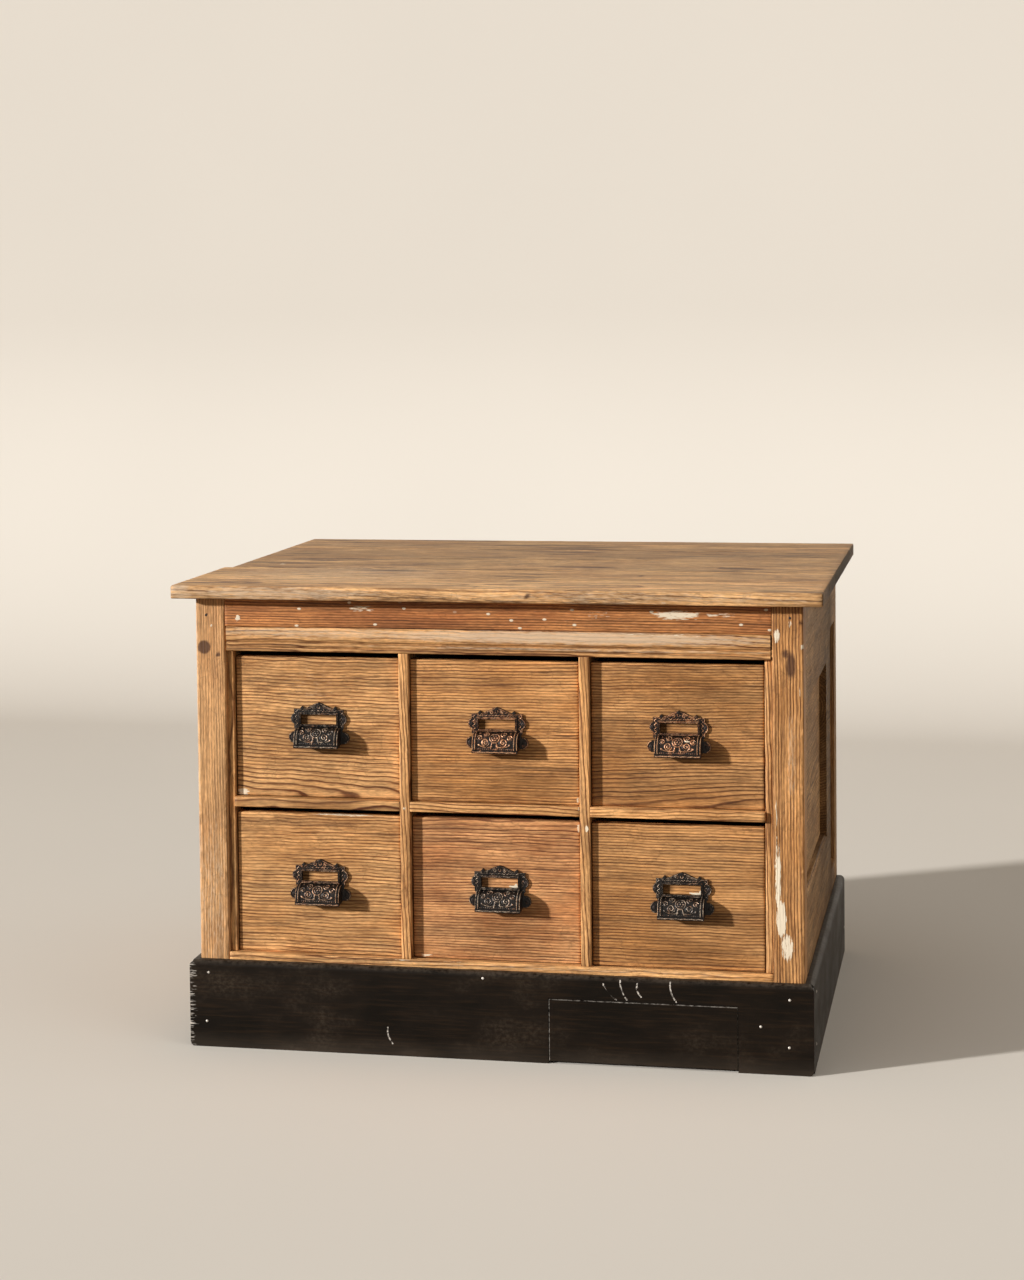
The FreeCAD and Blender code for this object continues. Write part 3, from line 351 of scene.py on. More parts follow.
PINE = wood("pine", (222, 171, 114), (194, 142, 88), (94, 50, 20), 5.4, 1.2, 7)
POST_PINE = wood("post_pine", (214, 166, 114), (196, 147, 98), (122, 78, 42), 4.6, 0.7, 4)
FINE_PINE = wood("fine_pine", (217, 162, 104), (189, 134, 79), (86, 44, 18), 4.6, 1.2, 4)
RED_PINE = wood("red_pine", (216, 162, 110), (188, 130, 82), (90, 42, 21), 4.4, 1.2, 4, 0.45)
HEAD_PINE = wood("head_pine", (196, 134, 80), (163, 103, 58), (72, 34, 15), 4.4, 1.1, 2, 0.5, specks=0.4)
TOP_PINE = wood("top_pine", (222, 176, 122), (190, 144, 96), (98, 62, 35), 5.4, 0.9, 6, 0.9, soiled=0.8)
# The sides' pine is darker than the front's: partly its own colour and partly painted shade
SIDE_PINE = wood("side_pine", (190, 149, 101), (154, 114, 70), (80, 50, 26), 4.6, 0.9, 5, 0.7, 0.65)
BARE_PINE = wood("bare_pine", (208, 172, 125), (184, 144, 97), (134, 92, 54), 4.8, 0.75, 5, 0.2, 0.7)
OLD_PINE = wood("old_pine", (120, 92, 66), (94, 70, 48), (56, 39, 27), 5.2, 0.8, 5, 0.6, 0.75)
BLACK_PAINT = worn_black_paint("worn_black_paint", scratches=(
    (0.1784, 0.1335, 0.1993, 0.1085),
    (0.206, 0.1396, 0.2171, 0.1093),
    (0.2334, 0.1359, 0.2397, 0.1152),
    (0.2866, 0.1399, 0.296, 0.1097),
    (-0.178, 0.046, -0.170, 0.020),
))
PATCH_PAINT = worn_black_paint("patch_paint", (PATCH_LOW.x, PATCH_HIGH.x, PATCH_HIGH.z))
GREY_IRON = iron("grey_iron", (22, 18, 17), (126, 106, 92), (158, 110, 78), (222, 206, 182), 0.0)
BROWN_IRON = iron("brown_iron", (24, 18, 16), (140, 106, 84), (170, 112, 76), (222, 192, 160), 0.06)
COPPER_IRON = iron("copper_iron", (28, 20, 17), (154, 102, 72), (192, 124, 80), (230, 190, 148), 0.16)
NAIL_IRON = iron("nail_iron", (44, 34, 31), (90, 68, 52), (96, 64, 44), (130, 108, 90), 0.0, 0.3, 0.6)
# Plinth nail heads: rubbed metal painted near white, which is partly a painted glint
RUBBED_NAIL_WITH_GLINT = iron("bright_nail", (190, 184, 176), (236, 230, 222), (228, 218, 204), (246, 243, 238),
                   0.5, 0.2, 0.35)


# Mesh helpers
def placed(name, data):
    """A new object in the scene."""
    made = bpy.data.objects.new(name, data)
    bpy.context.scene.collection.objects.link(made)
    return made


class Pile:
    """Vertices and faces of one piece, with what the shaders read at each vertex."""

    def __init__(self):
        self.points = []
        self.faces = []
        self.grain = []
        self.tone = []
        self.relief = []
        self.count = 0

    def add(self, points, faces, grain=None, tone=0.0, relief=None):
        points = np.asarray(points, float)
        self.points.append(points)
        self.faces.extend([tuple(int(i) + self.count for i in face) for face in faces])
        self.grain.append(np.zeros_like(points) if grain is None else grain)
        self.tone.append(np.full(len(points), tone) if np.isscalar(tone) else tone)
        self.relief.append(np.zeros(len(points)) if relief is None else relief)
        self.count += len(points)

    def piece(self, name, material, body, nodes=(), marks=(), smooth=True):
        """Turn the pile into an object that rides on a body and stands for CAD nodes."""
        mesh = bpy.data.meshes.new(name)
        points = np.concatenate(self.points)
        mesh.from_pydata(points.tolist(), [], self.faces)
        mesh.update()
        store(mesh, "grain", "FLOAT_VECTOR", "vector", np.concatenate(self.grain))
        store(mesh, "tone", "FLOAT", "value", np.concatenate(self.tone))
        store(mesh, "relief", "FLOAT", "value", np.concatenate(self.relief))
        store(mesh, "marks", "FLOAT_COLOR", "color", marked(points, marks))
        if smooth:
            mesh.shade_smooth()
            mesh.set_sharp_from_angle(angle=math.radians(50))
        made = placed(name, mesh)
        mesh.materials.append(material)
        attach(made, body)
        if nodes:
            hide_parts(*nodes)


def store(mesh, name, kind, field, values):
    """Keep one value for each vertex, for the shaders to read."""
    attribute = mesh.attributes.new(name, kind, "POINT")
    attribute.data.foreach_set(field, np.asarray(values, np.float32).ravel())


STAIN, PAINT, WASH, SHADE = 0, 1, 2, 3


def marked(points, marks):
    """Stain, paint, whitewash and shade at each vertex. A mark is (channel, centre, reach, amount)."""
    values = np.zeros((len(points), 4))
    for channel, centre, reach, amount in marks:
        away = (points - np.array(centre)) / np.array(reach)
        near = amount * np.exp(-np.sum(away ** 2, axis=1) ** 2)
        values[:, channel] = np.maximum(values[:, channel], near)
    return values


def on_front(y, rows, deep=10 * MM):
    """Marks on a front face, from rows of channel, x, z, reach in x and z, and amount."""
    return [(channel, (x, y, z), (wide, deep, tall), amount) for channel, x, z, wide, tall, amount in rows]


def on_top(rows, tall=10 * MM):
    """Marks on the top, from rows of channel, x, y, reach in x and y, and amount."""
    return [(channel, (x, y, TOP_HIGH.z), (wide, deep, tall), amount)
            for channel, x, y, wide, deep, amount in rows]


def ring_faces(count, size, closed=False):
    """Faces round a row of equal rings of points, with end caps unless the row closes on itself."""
    faces = []
    for i in range(count if closed else count - 1):
        j = (i + 1) % count
        for step in range(size):
            k = (step + 1) % size
            faces.append((i * size + step, i * size + k, j * size + k, j * size + step))
    if not closed:
        faces.append(tuple(reversed(range(size))))
        faces.append(tuple(range((count - 1) * size, count * size)))
    return faces


def stations(low, high, step, radius):
    """Places along one edge of a grid box, closer together at its ends."""
    inner = np.linspace(low + radius, high - radius, max(2, int(round((high - low) / step)) + 1))
    return np.concatenate([[low], [low + radius * 0.3], inner, [high - radius * 0.3], [high]])


def bumps(points, scale, seed):
    """Noise at each point, from 0 to 1."""
    shift = Vector((seed * 3.7, seed * 1.3, 0))
    return np.clip([noise.noise(Vector(p) * scale + shift) for p in points], 0, 1)


def grid_box(low, high, step, radius):
    """A closed box of quads with rounded edges.

    Returns its points and faces, how near each point is to an edge, and which way is out."""
    lines = [stations(low[i], high[i], step, radius) for i in range(3)]
    counts = [len(line) for line in lines]
    index = {}
    corners = []
    faces = []

    def corner(key):
        if key not in index:
            index[key] = len(corners)
            corners.append([lines[i][key[i]] for i in range(3)])
        return index[key]

    for axis in range(3):
        u, v = [i for i in range(3) if i != axis]
        for end in (0, counts[axis] - 1):
            for a in range(counts[u] - 1):
                for b in range(counts[v] - 1):
                    face = []
                    for da, db in ((0, 0), (1, 0), (1, 1), (0, 1)):
                        key = [0, 0, 0]
                        key[axis] = end
                        key[u] = a + da
                        key[v] = b + db
                        face.append(corner(tuple(key)))
                    # u, v and axis are right handed for X and Z, and left handed for Y
                    if (end == 0) == (axis != 1):
                        face.reverse()
                    faces.append(face)
    points = np.array(corners)
    core = np.clip(points, np.array(low) + radius, np.array(high) - radius)
    out = points - core
    length = np.linalg.norm(out, axis=1)
    direction = out / length[:, None]
    near = 1 - np.abs(direction).max(axis=1)
    return core + direction * radius, faces, near, direction


def tree_space(points, low, high, seed, pith, along=None):
    """Each board's place in its tree: along the grain, across, and away from the pith."""
    size = np.array(high) - np.array(low)
    along = int(np.argmax(size)) if along is None else along
    across = sorted([i for i in range(3) if i != along], key=lambda i: -size[i])
    offset, depth, tilt = pith
    middle = (np.array(high) + np.array(low)) / 2
    local = points - middle
    return np.stack([
        local[:, along] + seed * 1.713,
        local[:, across[0]] + offset,
        local[:, across[1]] + depth + tilt * local[:, along],
    ], axis=1)


def pith_for(seed):
    """A pith below the board, so that some boards show arches and others straight lines."""
    turn = math.sin(seed * 12.9898) * 43758.5453
    first = turn - math.floor(turn)
    turn = math.sin(seed * 78.233) * 12543.123
    second = turn - math.floor(turn)
    return (first - 0.5) * 0.22, 0.03 + second * 0.07, (first * second - 0.25) * 0.12


def worn_board(pile, low, high, seed, step, radius=1.2 * MM, wear=0.8 * MM, pith=None, along=None,
               tone=None):
    """A board with edges worn unevenly."""
    low, high = list(low), list(high)
    radius = min(radius, min(h - l for l, h in zip(low, high)) * 0.3)
    points, faces, near, direction = grid_box(low, high, step, radius)
    lost = bumps(points, 45, seed) + 0.7 * bumps(points, 9, seed + 5)
    lost *= wear * np.clip(near * 4, 0, 1)
    points = points - direction * lost[:, None]
    grain = tree_space(points, low, high, seed, pith or pith_for(seed), along)
    pile.add(points, faces, grain, math.sin(seed * 5.1) if tone is None else tone)


def shape_of(node):
    """A CAD node's mesh, its solids closed."""
    bm = bmesh.new()
    bm.from_mesh(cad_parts[node].data)
    bmesh.ops.remove_doubles(bm, verts=bm.verts, dist=1e-6)
    return bm


def islands(bm):
    """The separate solids of a mesh, each as its vertices' numbers and places."""
    bm.verts.ensure_lookup_table()
    seen = [False] * len(bm.verts)
    groups = []
    for first in bm.verts:
        if seen[first.index]:
            continue
        seen[first.index] = True
        waiting = [first]
        members = []
        while waiting:
            vertex = waiting.pop()
            members.append(vertex.index)
            for edge in vertex.link_edges:
                other = edge.other_vert(vertex)
                if not seen[other.index]:
                    seen[other.index] = True
                    waiting.append(other)
        groups.append((members, np.array([bm.verts[i].co for i in members])))
    return groups


def boards_of(node, material, slot, marks, seed, clip=None, **options):
    """Worn boards in place of a node whose solids are plain boards."""
    pile = Pile()
    bm = shape_of(node)
    solids = [points for _, points in islands(bm)]
    bm.free()
    for number, points in enumerate(sorted(solids, key=lambda points: tuple(points.min(0)))):
        low, high = points.min(0), points.max(0)
        if clip:
            low[0], high[0] = max(low[0], -clip), min(high[0], clip)
        worn_board(pile, low, high, seed + number * 1.37, **options)
    pile.piece(node + "_wood", material, "carcass", [node], marks)


def round_corners(bm, low, high, radius):
    """Round a board's four corners as seen from the front: squares about them become circles."""
    for share in (1.0, 0.75, 0.5, 0.25):
        inner = Vector((radius, radius, radius)) * share
        for place in (low + inner, high - inner):
            for normal in ((1, 0, 0), (0, 0, 1)):
                everything = bm.verts[:] + bm.edges[:] + bm.faces[:]
                bmesh.ops.bisect_plane(bm, geom=everything, plane_co=place, plane_no=normal)
    for vertex in bm.verts:
        centre_x = min(max(vertex.co.x, low.x + radius), high.x - radius)
        centre_z = min(max(vertex.co.z, low.z + radius), high.z - radius)
        away = Vector((vertex.co.x - centre_x, 0, vertex.co.z - centre_z))
        if away.x and away.z:
            away *= max(abs(away.x), abs(away.z)) / away.length
            vertex.co.x = centre_x + away.x
            vertex.co.z = centre_z + away.z


def dressed_shape(node, bevel, shortest=0.0, corner=0.0):
    """A node's own shape with its edges eased, as points, faces, a mask of the eased edges and separate
    solids.
    """
    bm = shape_of(node)
    bmesh.ops.dissolve_limit(bm, angle_limit=math.radians(1), verts=bm.verts, edges=bm.edges)
    if corner:
        round_corners(bm, *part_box(node), corner)
    edges = [e for e in bm.edges
             if e.is_manifold and e.calc_face_angle() > math.radians(25) and e.calc_length() > shortest]
    made = bmesh.ops.bevel(bm, geom=edges, offset=bevel, segments=2, profile=0.5, affect="EDGES",
                           clamp_overlap=True)
    strips = set(made["faces"])
    bm.verts.index_update()
    groups = islands(bm)
    points = np.array([v.co for v in bm.verts])
    worn = np.array([float(all(f in strips for f in v.link_faces)) for v in bm.verts])
    faces = [tuple(v.index for v in f.verts) for f in bm.faces]
    bm.free()
    return points, faces, worn, groups


def dressed(node, material, seed, bevel=0.7 * MM, body="carcass", marks=(), along=None, corner=0.0):
    """A node's own shape with its edges eased, each solid with its own grain."""
    points, faces, _, groups = dressed_shape(node, bevel, corner=corner)
    grain = np.zeros_like(points)
    tone = np.zeros(len(points))
    for number, (members, group) in enumerate(groups):
        order = seed + number * 1.71
        low, high = group.min(0), group.max(0)
        grain[members] = tree_space(points[members], low, high, order, pith_for(order), along)
        tone[members] = 0.6 * math.sin(order * 5.1)
    pile = Pile()
    pile.add(points, faces, grain, tone)
    pile.piece(node + "_dressed", material, body, [node], marks, smooth=False)


# Carcass, from the top down
def front_board(node, material, rows, seed, **options):
    """A board of the front frame, with marks on its face."""
    boards_of(node, material, "front_pine", on_front(FRONT, rows), seed, **options)


def top():
    edge = TOP_LOW.y
    marks = on_top([
        (STAIN, -0.50, -0.36, 0.05, 0.004, 0.9),
        (STAIN, -0.44, 0.34, 0.09, 0.03, 0.6),
        (STAIN, 0.214, -0.188, 0.006, 0.012, 0.8),
        (STAIN, 0.445, -0.179, 0.006, 0.012, 0.8),
        (STAIN, -0.028, -0.376, 0.008, 0.012, 0.8),
        (STAIN, 0.336, -0.049, 0.006, 0.014, 0.8),
        (STAIN, 0.093, -0.363, 0.03, 0.015, 0.55),
        (PAINT, -0.4415, -0.06, 0.006, 0.012, 0.9),
        (WASH, 0, -0.33, 0.6, 0.07, 0.26),
        (WASH, -0.3, -0.22, 0.24, 0.16, 0.42),
    ])
    marks += on_top([(SHADE, 0.1, 0.25, 0.6, 0.25, 0.2)], 20 * MM)
    marks += on_front(edge, [
        (STAIN, 0.0635, 0.7566, 0.007, 0.006, 0.9),
        (PAINT, -0.191, 0.752, 0.008, 0.004, 0.8),
        (PAINT, -0.079, 0.752, 0.006, 0.004, 0.8),
        (PAINT, 0.109, 0.762, 0.005, 0.003, 0.8),
        (PAINT, 0.285, 0.7505, 0.03, 0.003, 0.7),
    ])
    marks += on_front(edge, [
        (WASH, 0.2, 0.757, 0.4, 0.012, 0.4),
        (WASH, -0.35, 0.757, 0.2, 0.012, 0.65),
    ], 3 * MM)
    marks += on_front(edge, [(WASH, -0.515, 0.757, 0.02, 0.02, 0.6)], 20 * MM)
    # Right end of the top: darker end grain and painted shade, which also dulls its shine
    marks.append((SHADE, (TOP_HIGH.x, 0, 0.757), (0.0015, 0.6, 0.03), 1.75))

    # Dark streaks along the grain, away from the front edge
    draw = random.Random(11)
    for _ in range(34):
        centre = (draw.uniform(-0.48, 0.50), draw.uniform(-0.16, 0.39), TOP_HIGH.z)
        reach = (draw.uniform(0.03, 0.13), draw.uniform(0.006, 0.013), 0.01)
        marks.append((STAIN, centre, reach, draw.uniform(0.45, 0.85)))
    boards_of("top_boards", TOP_PINE, "top_pine", marks, 3.0, step=9 * MM, radius=2.2 * MM, wear=1.4 * MM)


top()
front_board("header_board", HEAD_PINE, [
    (PAINT, 0.173, 0.7255, 0.03, 0.01, 0.5),
    (PAINT, 0.30, 0.727, 0.05, 0.009, 0.75),
    (PAINT, 0.37, 0.728, 0.04, 0.004, 0.6),
    (PAINT, -0.216, 0.7298, 0.03, 0.007, 0.6),
    (PAINT, -0.428, 0.712, 0.005, 0.006, 1.0),
    (WASH, 0.2, 0.72, 0.3, 0.02, 0.1),
    # Dark line along the joint with the moulding below: the joint's own dark and painted shadow
    (STAIN, 0, 0.699, 0.45, 0.0022, 0.6),
    (STAIN, -0.30, 0.735, 0.12, 0.002, 0.55),
    (STAIN, -0.02, 0.708, 0.16, 0.002, 0.5),
], 5.2, step=4 * MM, clip=POST_INNER, pith=(0.17, 0.04, 0.01))
front_board("bottom_rail", PINE, [
    (PAINT, -0.118, 0.1545, 0.10, 0.0012, 0.5),
    (WASH, 0.1, 0.150, 0.35, 0.004, 0.4),
], 6.1, step=5 * MM, clip=POST_INNER, tone=0.8)
front_board("cross_rails", PINE, [(PAINT, 0.138, 0.412, 0.003, 0.004, 0.7)], 7.7, step=5 * MM, tone=0.7)
front_board("edge_strips", PINE, [], 8.4, step=6 * MM, tone=0.1)
front_board("divider_left", PINE, [(PAINT, -0.149, 0.404, 0.004, 0.004, 0.8)],
            9.3, step=4 * MM, tone=0.9, pith=(0.02, 0.05, 0.04))
front_board("divider_right", PINE, [(PAINT, 0.152, 0.380, 0.004, 0.006, 1.0)], 10.6, step=4 * MM, tone=0.6)
front_board("front_post_left", POST_PINE, [
    (STAIN, -0.4868, 0.663, 0.0112, 0.0112, 1.3),
    (STAIN, -0.4625, 0.651, 0.004, 0.004, 1.0),
    (STAIN, -0.482, 0.716, 0.003, 0.003, 1.0),
    (PAINT, -0.474, 0.70, 0.003, 0.003, 0.9),
    (WASH, -0.499, 0.45, 0.004, 0.4, 0.45),
    (WASH, -0.475, 0.25, 0.03, 0.15, 0.35),
], 11.9, step=4.5 * MM, radius=2.4 * MM, wear=2.6 * MM, tone=0.2, pith=(0.15, 0.05, 0.02))
front_board("front_post_right", FINE_PINE, [
    (PAINT, 0.4585, 0.6965, 0.006, 0.014, 0.8),
    (PAINT, 0.479, 0.716, 0.005, 0.008, 0.55),
    (STAIN, 0.480, 0.65, 0.009, 0.024, 0.95),
    (STAIN, 0.472, 0.668, 0.008, 0.008, 0.8),
    (PAINT, 0.4993, 0.68, 0.003, 0.006, 0.9),
    (PAINT, 0.4555, 0.40, 0.0035, 0.05, 0.6),
    (PAINT, 0.4585, 0.31, 0.006, 0.06, 0.85),
    (PAINT, 0.4635, 0.245, 0.009, 0.035, 0.95),
    (PAINT, 0.4725, 0.20, 0.012, 0.026, 0.8),
    (PAINT, 0.493, 0.60, 0.003, 0.02, 0.5),
    (WASH, 0.480, 0.50, 0.008, 0.09, 0.4),
    (STAIN, 0.4964, 0.7176, 0.003, 0.006, 0.8),
], 13.1, step=4.5 * MM, radius=1.8 * MM, wear=1.6 * MM, tone=-0.2, pith=(0.13, 0.05, 0.02))


def moulding():
    """The moulded strip under the header board, worn white along its plain face."""
    low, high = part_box("header_moulding")
    # Depth from the face and height, in millimetres
    profile = [
        (0, 1), (0, 4), (0.5, 5.2), (3, 5.8), (3, 7.4), (1, 8.2), (0.7, 9.4), (0.7, 11.4), (1, 12.6),
        (3, 13.6), (3, 15.4), (0.6, 16.6), (0, 17.6), (0, 22), (0, 27), (0, 32), (0, 36.5), (0.5, 38.4),
        (1.8, 39.8), (12, 40), (23.5, 40), (25.5, 39), (25.5, 20), (25.5, 1), (24.5, 0), (12, 0), (1, 0),
    ]
    xs = np.linspace(low.x, high.x, 181)
    points = np.array([(x, low.y + y * MM, low.z + z * MM) for x in xs for y, z in profile])
    arris = np.exp(-((points[:, 2] - high.z + 1.5 * MM) / (3 * MM)) ** 2) * (points[:, 1] < low.y + 3 * MM)
    points[:, 1] += bumps(points, 60, 4.0) * 0.7 * MM * arris
    marks = on_front(low.y, [
        (WASH, 0.12, low.z + 0.030, 0.36, 0.011, 0.95),
        (WASH, -0.28, low.z + 0.031, 0.24, 0.009, 0.6),
        (WASH, 0.15, low.z + 0.0105, 0.4, 0.003, 0.5),
        (PAINT, 0.28, low.z + 0.036, 0.12, 0.004, 0.45),
    ])
    marks += on_front(low.y + 3 * MM, [
        (STAIN, 0, low.z + 0.0145, 0.5, 0.0012, 0.6),
        (STAIN, 0, low.z + 0.0066, 0.5, 0.0012, 0.5),
    ], 1.2 * MM)
    pile = Pile()
    grain = tree_space(points, low, high, 14.0, (0.05, 0.06, 0.02))
    pile.add(points, ring_faces(len(xs), len(profile)), grain, 0.3)
    pile.piece("header_moulding_wood", PINE, "carcass", ["header_moulding"], marks)


moulding()

# Sides, back, inside and plinth keep the solids' shapes
dressed("side_frame_left", SIDE_PINE, 21.0)
dressed("side_frame_right", SIDE_PINE, 24.0, marks=[
    # Painted shade darkens the rear stile, where the side is in shadow; a whitewash mark makes the upper
    # rail paler and greyer
    (SHADE, (0.5, 0.19, 0.43), (0.05, 0.10, 0.6), 1.5),
    (WASH, (0.5, -0.15, 0.68), (0.05, 0.3, 0.12), 0.6),
])
dressed("side_panels", SIDE_PINE, 27.5)
dressed("rear_posts", SIDE_PINE, 29.0, 1.2 * MM)
dressed("back_boards", OLD_PINE, 31.0)
dressed("back_rails", OLD_PINE, 33.0)
INSIDE = ("partitions", "drawer_runners", "drawer_kickers", "drawer_guides", "drawer_stops")
for number, node in enumerate(INSIDE):
    dressed(node, BARE_PINE, 35.0 + 2 * number)
dressed("plinth_front", BLACK_PAINT, 45.0, 1.0 * MM, corner=8 * MM)
dressed("plinth_patch", PATCH_PAINT, 46.0, 1.2 * MM)
dressed("plinth_sides", BLACK_PAINT, 47.0, 0.8 * MM)


def dome(pile, centre, radius, height, axis=(0, -1, 0), slot_turn=None):
    """A domed head standing on a surface, with a screwdriver slot if slot_turn is given."""
    around, rings, sunk = 20, 6, 0.5 * MM
    out = Vector(axis)
    turn = out.to_track_quat("Z", "Y").to_matrix()
    levels = []
    for ring in range(1, rings + 1):
        share = ring / rings
        levels.append((radius * share, height * math.sqrt(1 - share * share * 0.97)))
    levels.append((radius, -sunk))
    points = [centre + turn @ Vector((0, 0, height))]
    for reach, rise in levels:
        for step in range(around):
            angle = 2 * math.pi * step / around
            points.append(centre + turn @ Vector((reach * math.cos(angle), reach * math.sin(angle), rise)))
    if slot_turn is not None:
        cut = turn @ Vector((-math.sin(slot_turn), math.cos(slot_turn), 0))
        for number, point in enumerate(points[:1 + rings * around]):
            if abs((point - centre).dot(cut)) < radius * 0.17:
                points[number] = point - out * (height * 0.5)
    faces = [(1 + step, 1 + (step + 1) % around, 0) for step in range(around)]
    for ring in range(rings):
        for step in range(around):
            a = 1 + ring * around + step
            b = 1 + ring * around + (step + 1) % around
            faces.append((a, a + around, b + around, b))
    base = 1 + rings * around
    faces.append(tuple(reversed(range(base, base + around))))
    pile.add([tuple(p) for p in points], faces)


# Nail heads in the plinth and the posts; the plinth's heads are painted near white, rubbed metal with a
# painted glint
pile = Pile()
for x, z in ((-0.482, 0.124), (-0.486, 0.0426), (0.477, 0.1205), (0.476, 0.0444), (0.431, 0.076),
             (-0.0184, 0.134)):
    dome(pile, Vector((x, PLINTH_LOW.y, z)), 2.2 * MM, 1.5 * MM)
for y, z in ((-0.337, 0.121), (-0.342, 0.038), (0.365, 0.049)):
    for side in (1, -1):
        dome(pile, Vector((side * PLINTH_HIGH.x, y, z)), 2.6 * MM, 0.7 * MM, (side, 0, 0))
pile.piece("plinth_nails", RUBBED_NAIL_WITH_GLINT, "carcass")
pile = Pile()
for x, z in ((-0.482, 0.7162), (0.479, 0.725)):
    dome(pile, Vector((x, FRONT, z)), 2.2 * MM, 0.3 * MM)
pile.piece("post_nails", NAIL_IRON, "carcass")


# Drawers: wood, tone, seed and pith of the front, and the pull's metal
FRONT_LOOK = {
    "top_left": (PINE, 0.4, 51.0, (0.12, 0.05, 0.05), GREY_IRON),
    "top_middle": (FINE_PINE, 0.25, 52.3, (-0.16, 0.05, 0.02), COPPER_IRON),
    "top_right": (FINE_PINE, -0.35, 53.9, (0.118, 0.045, -0.04), COPPER_IRON),
    "bottom_left": (PINE, 0.3, 55.2, (0.19, 0.04, 0.03), BROWN_IRON),
    "bottom_middle": (RED_PINE, 0.3, 56.4, (-0.14, 0.055, 0.02), GREY_IRON),
    "bottom_right": (FINE_PINE, -0.3, 57.7, (0.17, 0.05, 0.01), GREY_IRON),
}
FRONT_MARKS = {
    "top_left": [
        (STAIN, -0.40, 0.60, 0.05, 0.02, 0.36),
        (STAIN, -0.33, 0.592, 0.02, 0.008, 0.42),
        (PAINT, -0.4265, 0.4217, 0.012, 0.007, 0.9),
        (WASH, -0.31, 0.60, 0.05, 0.04, 0.2),
    ],
    "top_middle": [
        (STAIN, 0.115, 0.527, 0.03, 0.0022, 0.8),
        (PAINT, 0.137, 0.425, 0.004, 0.006, 0.9),
        (SHADE, 0.0, 0.43, 0.13, 0.03, 0.3),
    ],
    "top_right": [
        (STAIN, 0.38, 0.45, 0.05, 0.012, 0.34),
        (SHADE, 0.38, 0.60, 0.12, 0.045, 0.35),
    ],
    "bottom_left": [
        (STAIN, -0.33, 0.25, 0.05, 0.02, 0.36),
        (STAIN, -0.30, 0.372, 0.10, 0.006, 0.4),
        (PAINT, -0.25, 0.3885, 0.07, 0.0022, 0.75),
    ],
    "bottom_middle": [
        (PAINT, 0.1375, 0.378, 0.004, 0.008, 1.0),
        (PAINT, -0.118, 0.161, 0.012, 0.003, 0.75),
        (PAINT, -0.168, 0.159, 0.004, 0.003, 0.8),
        (PAINT, 0.029, 0.2785, 0.010, 0.0022, 1.0),
        (PAINT, 0.033, 0.282, 0.0025, 0.005, 0.9),
        (SHADE, 0.02, 0.19, 0.12, 0.04, 0.5),
    ],
    "bottom_right": [
        (STAIN, 0.30, 0.30, 0.05, 0.02, 0.3),
        (PAINT, 0.325, 0.2785, 0.014, 0.0022, 1.0),
        (PAINT, 0.334, 0.282, 0.0025, 0.005, 0.9),
        (SHADE, 0.30, 0.18, 0.12, 0.02, 0.3),
    ],
}

# The pull in millimetres: its plate, its window, and its cup, as (y, z) from the pull's origin
PLATE = 3.0
WINDOW_DROP = 27.4
CUP_RADIUS = 17.78
CUP_CENTRE = (-8.22, -32.0)
CUP_START = math.radians(72.9)
CUP_ARC = (math.pi - CUP_START) * CUP_RADIUS
CUP_LENGTH = CUP_ARC + 7.6
CUP_HALF = 29.3
CUP_RIM = 0.4
LIP = (-27.2, -42.6)


def pull_origin(name):
    """Centre of the label window, on the face of the drawer."""
    low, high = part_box(name + "_pull")
    return Vector(((low.x + high.x) / 2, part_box(name + "_front")[0].y, high.z - WINDOW_DROP * MM))


def ridge(distance, width):
    return max(0.0, 1 - (distance / width) ** 2)


def spiral(u, v, centre_u, centre_v, reach, pitch, sign, width):
    """A rolled scroll: a ridge that winds out from its centre."""
    away_u, away_v = (u - centre_u) * sign, v - centre_v
    distance = math.hypot(away_u, away_v)
    if distance > reach:
        return 0.0
    turn = math.atan2(away_v, away_u) / (2 * math.pi)
    return ridge(((distance / pitch - turn) % 1.0 - 0.5) * pitch, width)


def cup_relief(u, v):
    """Height of the cup's ornament, 0 to 1: a rosette between scrolls, and beads along both edges."""
    rosette = math.hypot(u, v - 20.5)
    petals = 0.5 + 0.5 * math.cos(6 * math.atan2(v - 20.5, u))
    beads = 0.5 + 0.5 * math.cos(u * 2.0)
    heights = [ridge(rosette, 1.9), ridge(rosette - 8.0, 1.1)]
    heights.append(ridge(rosette - 4.4, 1.4) * (0.4 + 0.6 * petals))
    for sign in (-1, 1):
        heights.append(spiral(u, v, sign * 14.5, 28.0, 6.6, 3.6, sign, 1.2))
        heights.append(spiral(u, v, sign * 15.0, 12.5, 6.2, 3.5, -sign, 1.15))
        heights.append(spiral(u, v, sign * 24.3, 20.5, 5.0, 3.3, sign, 1.1))
        heights.append(ridge(math.hypot(u - sign * 25.0, v - 32), 2.0))
        heights.append(ridge(math.hypot(u - sign * 25.0, v - 9), 1.9))
    if 3 < abs(u) < 27:
        heights.append(ridge(v - 36.0 + 0.02 * (abs(u) - 12) ** 2, 1.0))
    if 29 < v < 38:
        heights.append(ridge(abs(u) - 4.5 - 0.25 * (v - 33), 1.0))
    heights.append(0.8 * ridge(v - 2.4, 1.0) * beads)
    heights.append(0.9 * ridge(v - 38.8, 1.0) * beads)
    return max(heights)


def cup_place(v, offset):
    """Point (y, z) on the cup's outer curve, v mm down from its top, lifted by offset mm."""
    if v < CUP_ARC:
        angle = CUP_START + v / CUP_RADIUS
        reach = CUP_RADIUS + offset
        return CUP_CENTRE[0] + reach * math.cos(angle), CUP_CENTRE[1] + reach * math.sin(angle)
    return CUP_CENTRE[0] - CUP_RADIUS - offset, CUP_CENTRE[1] - (v - CUP_ARC)


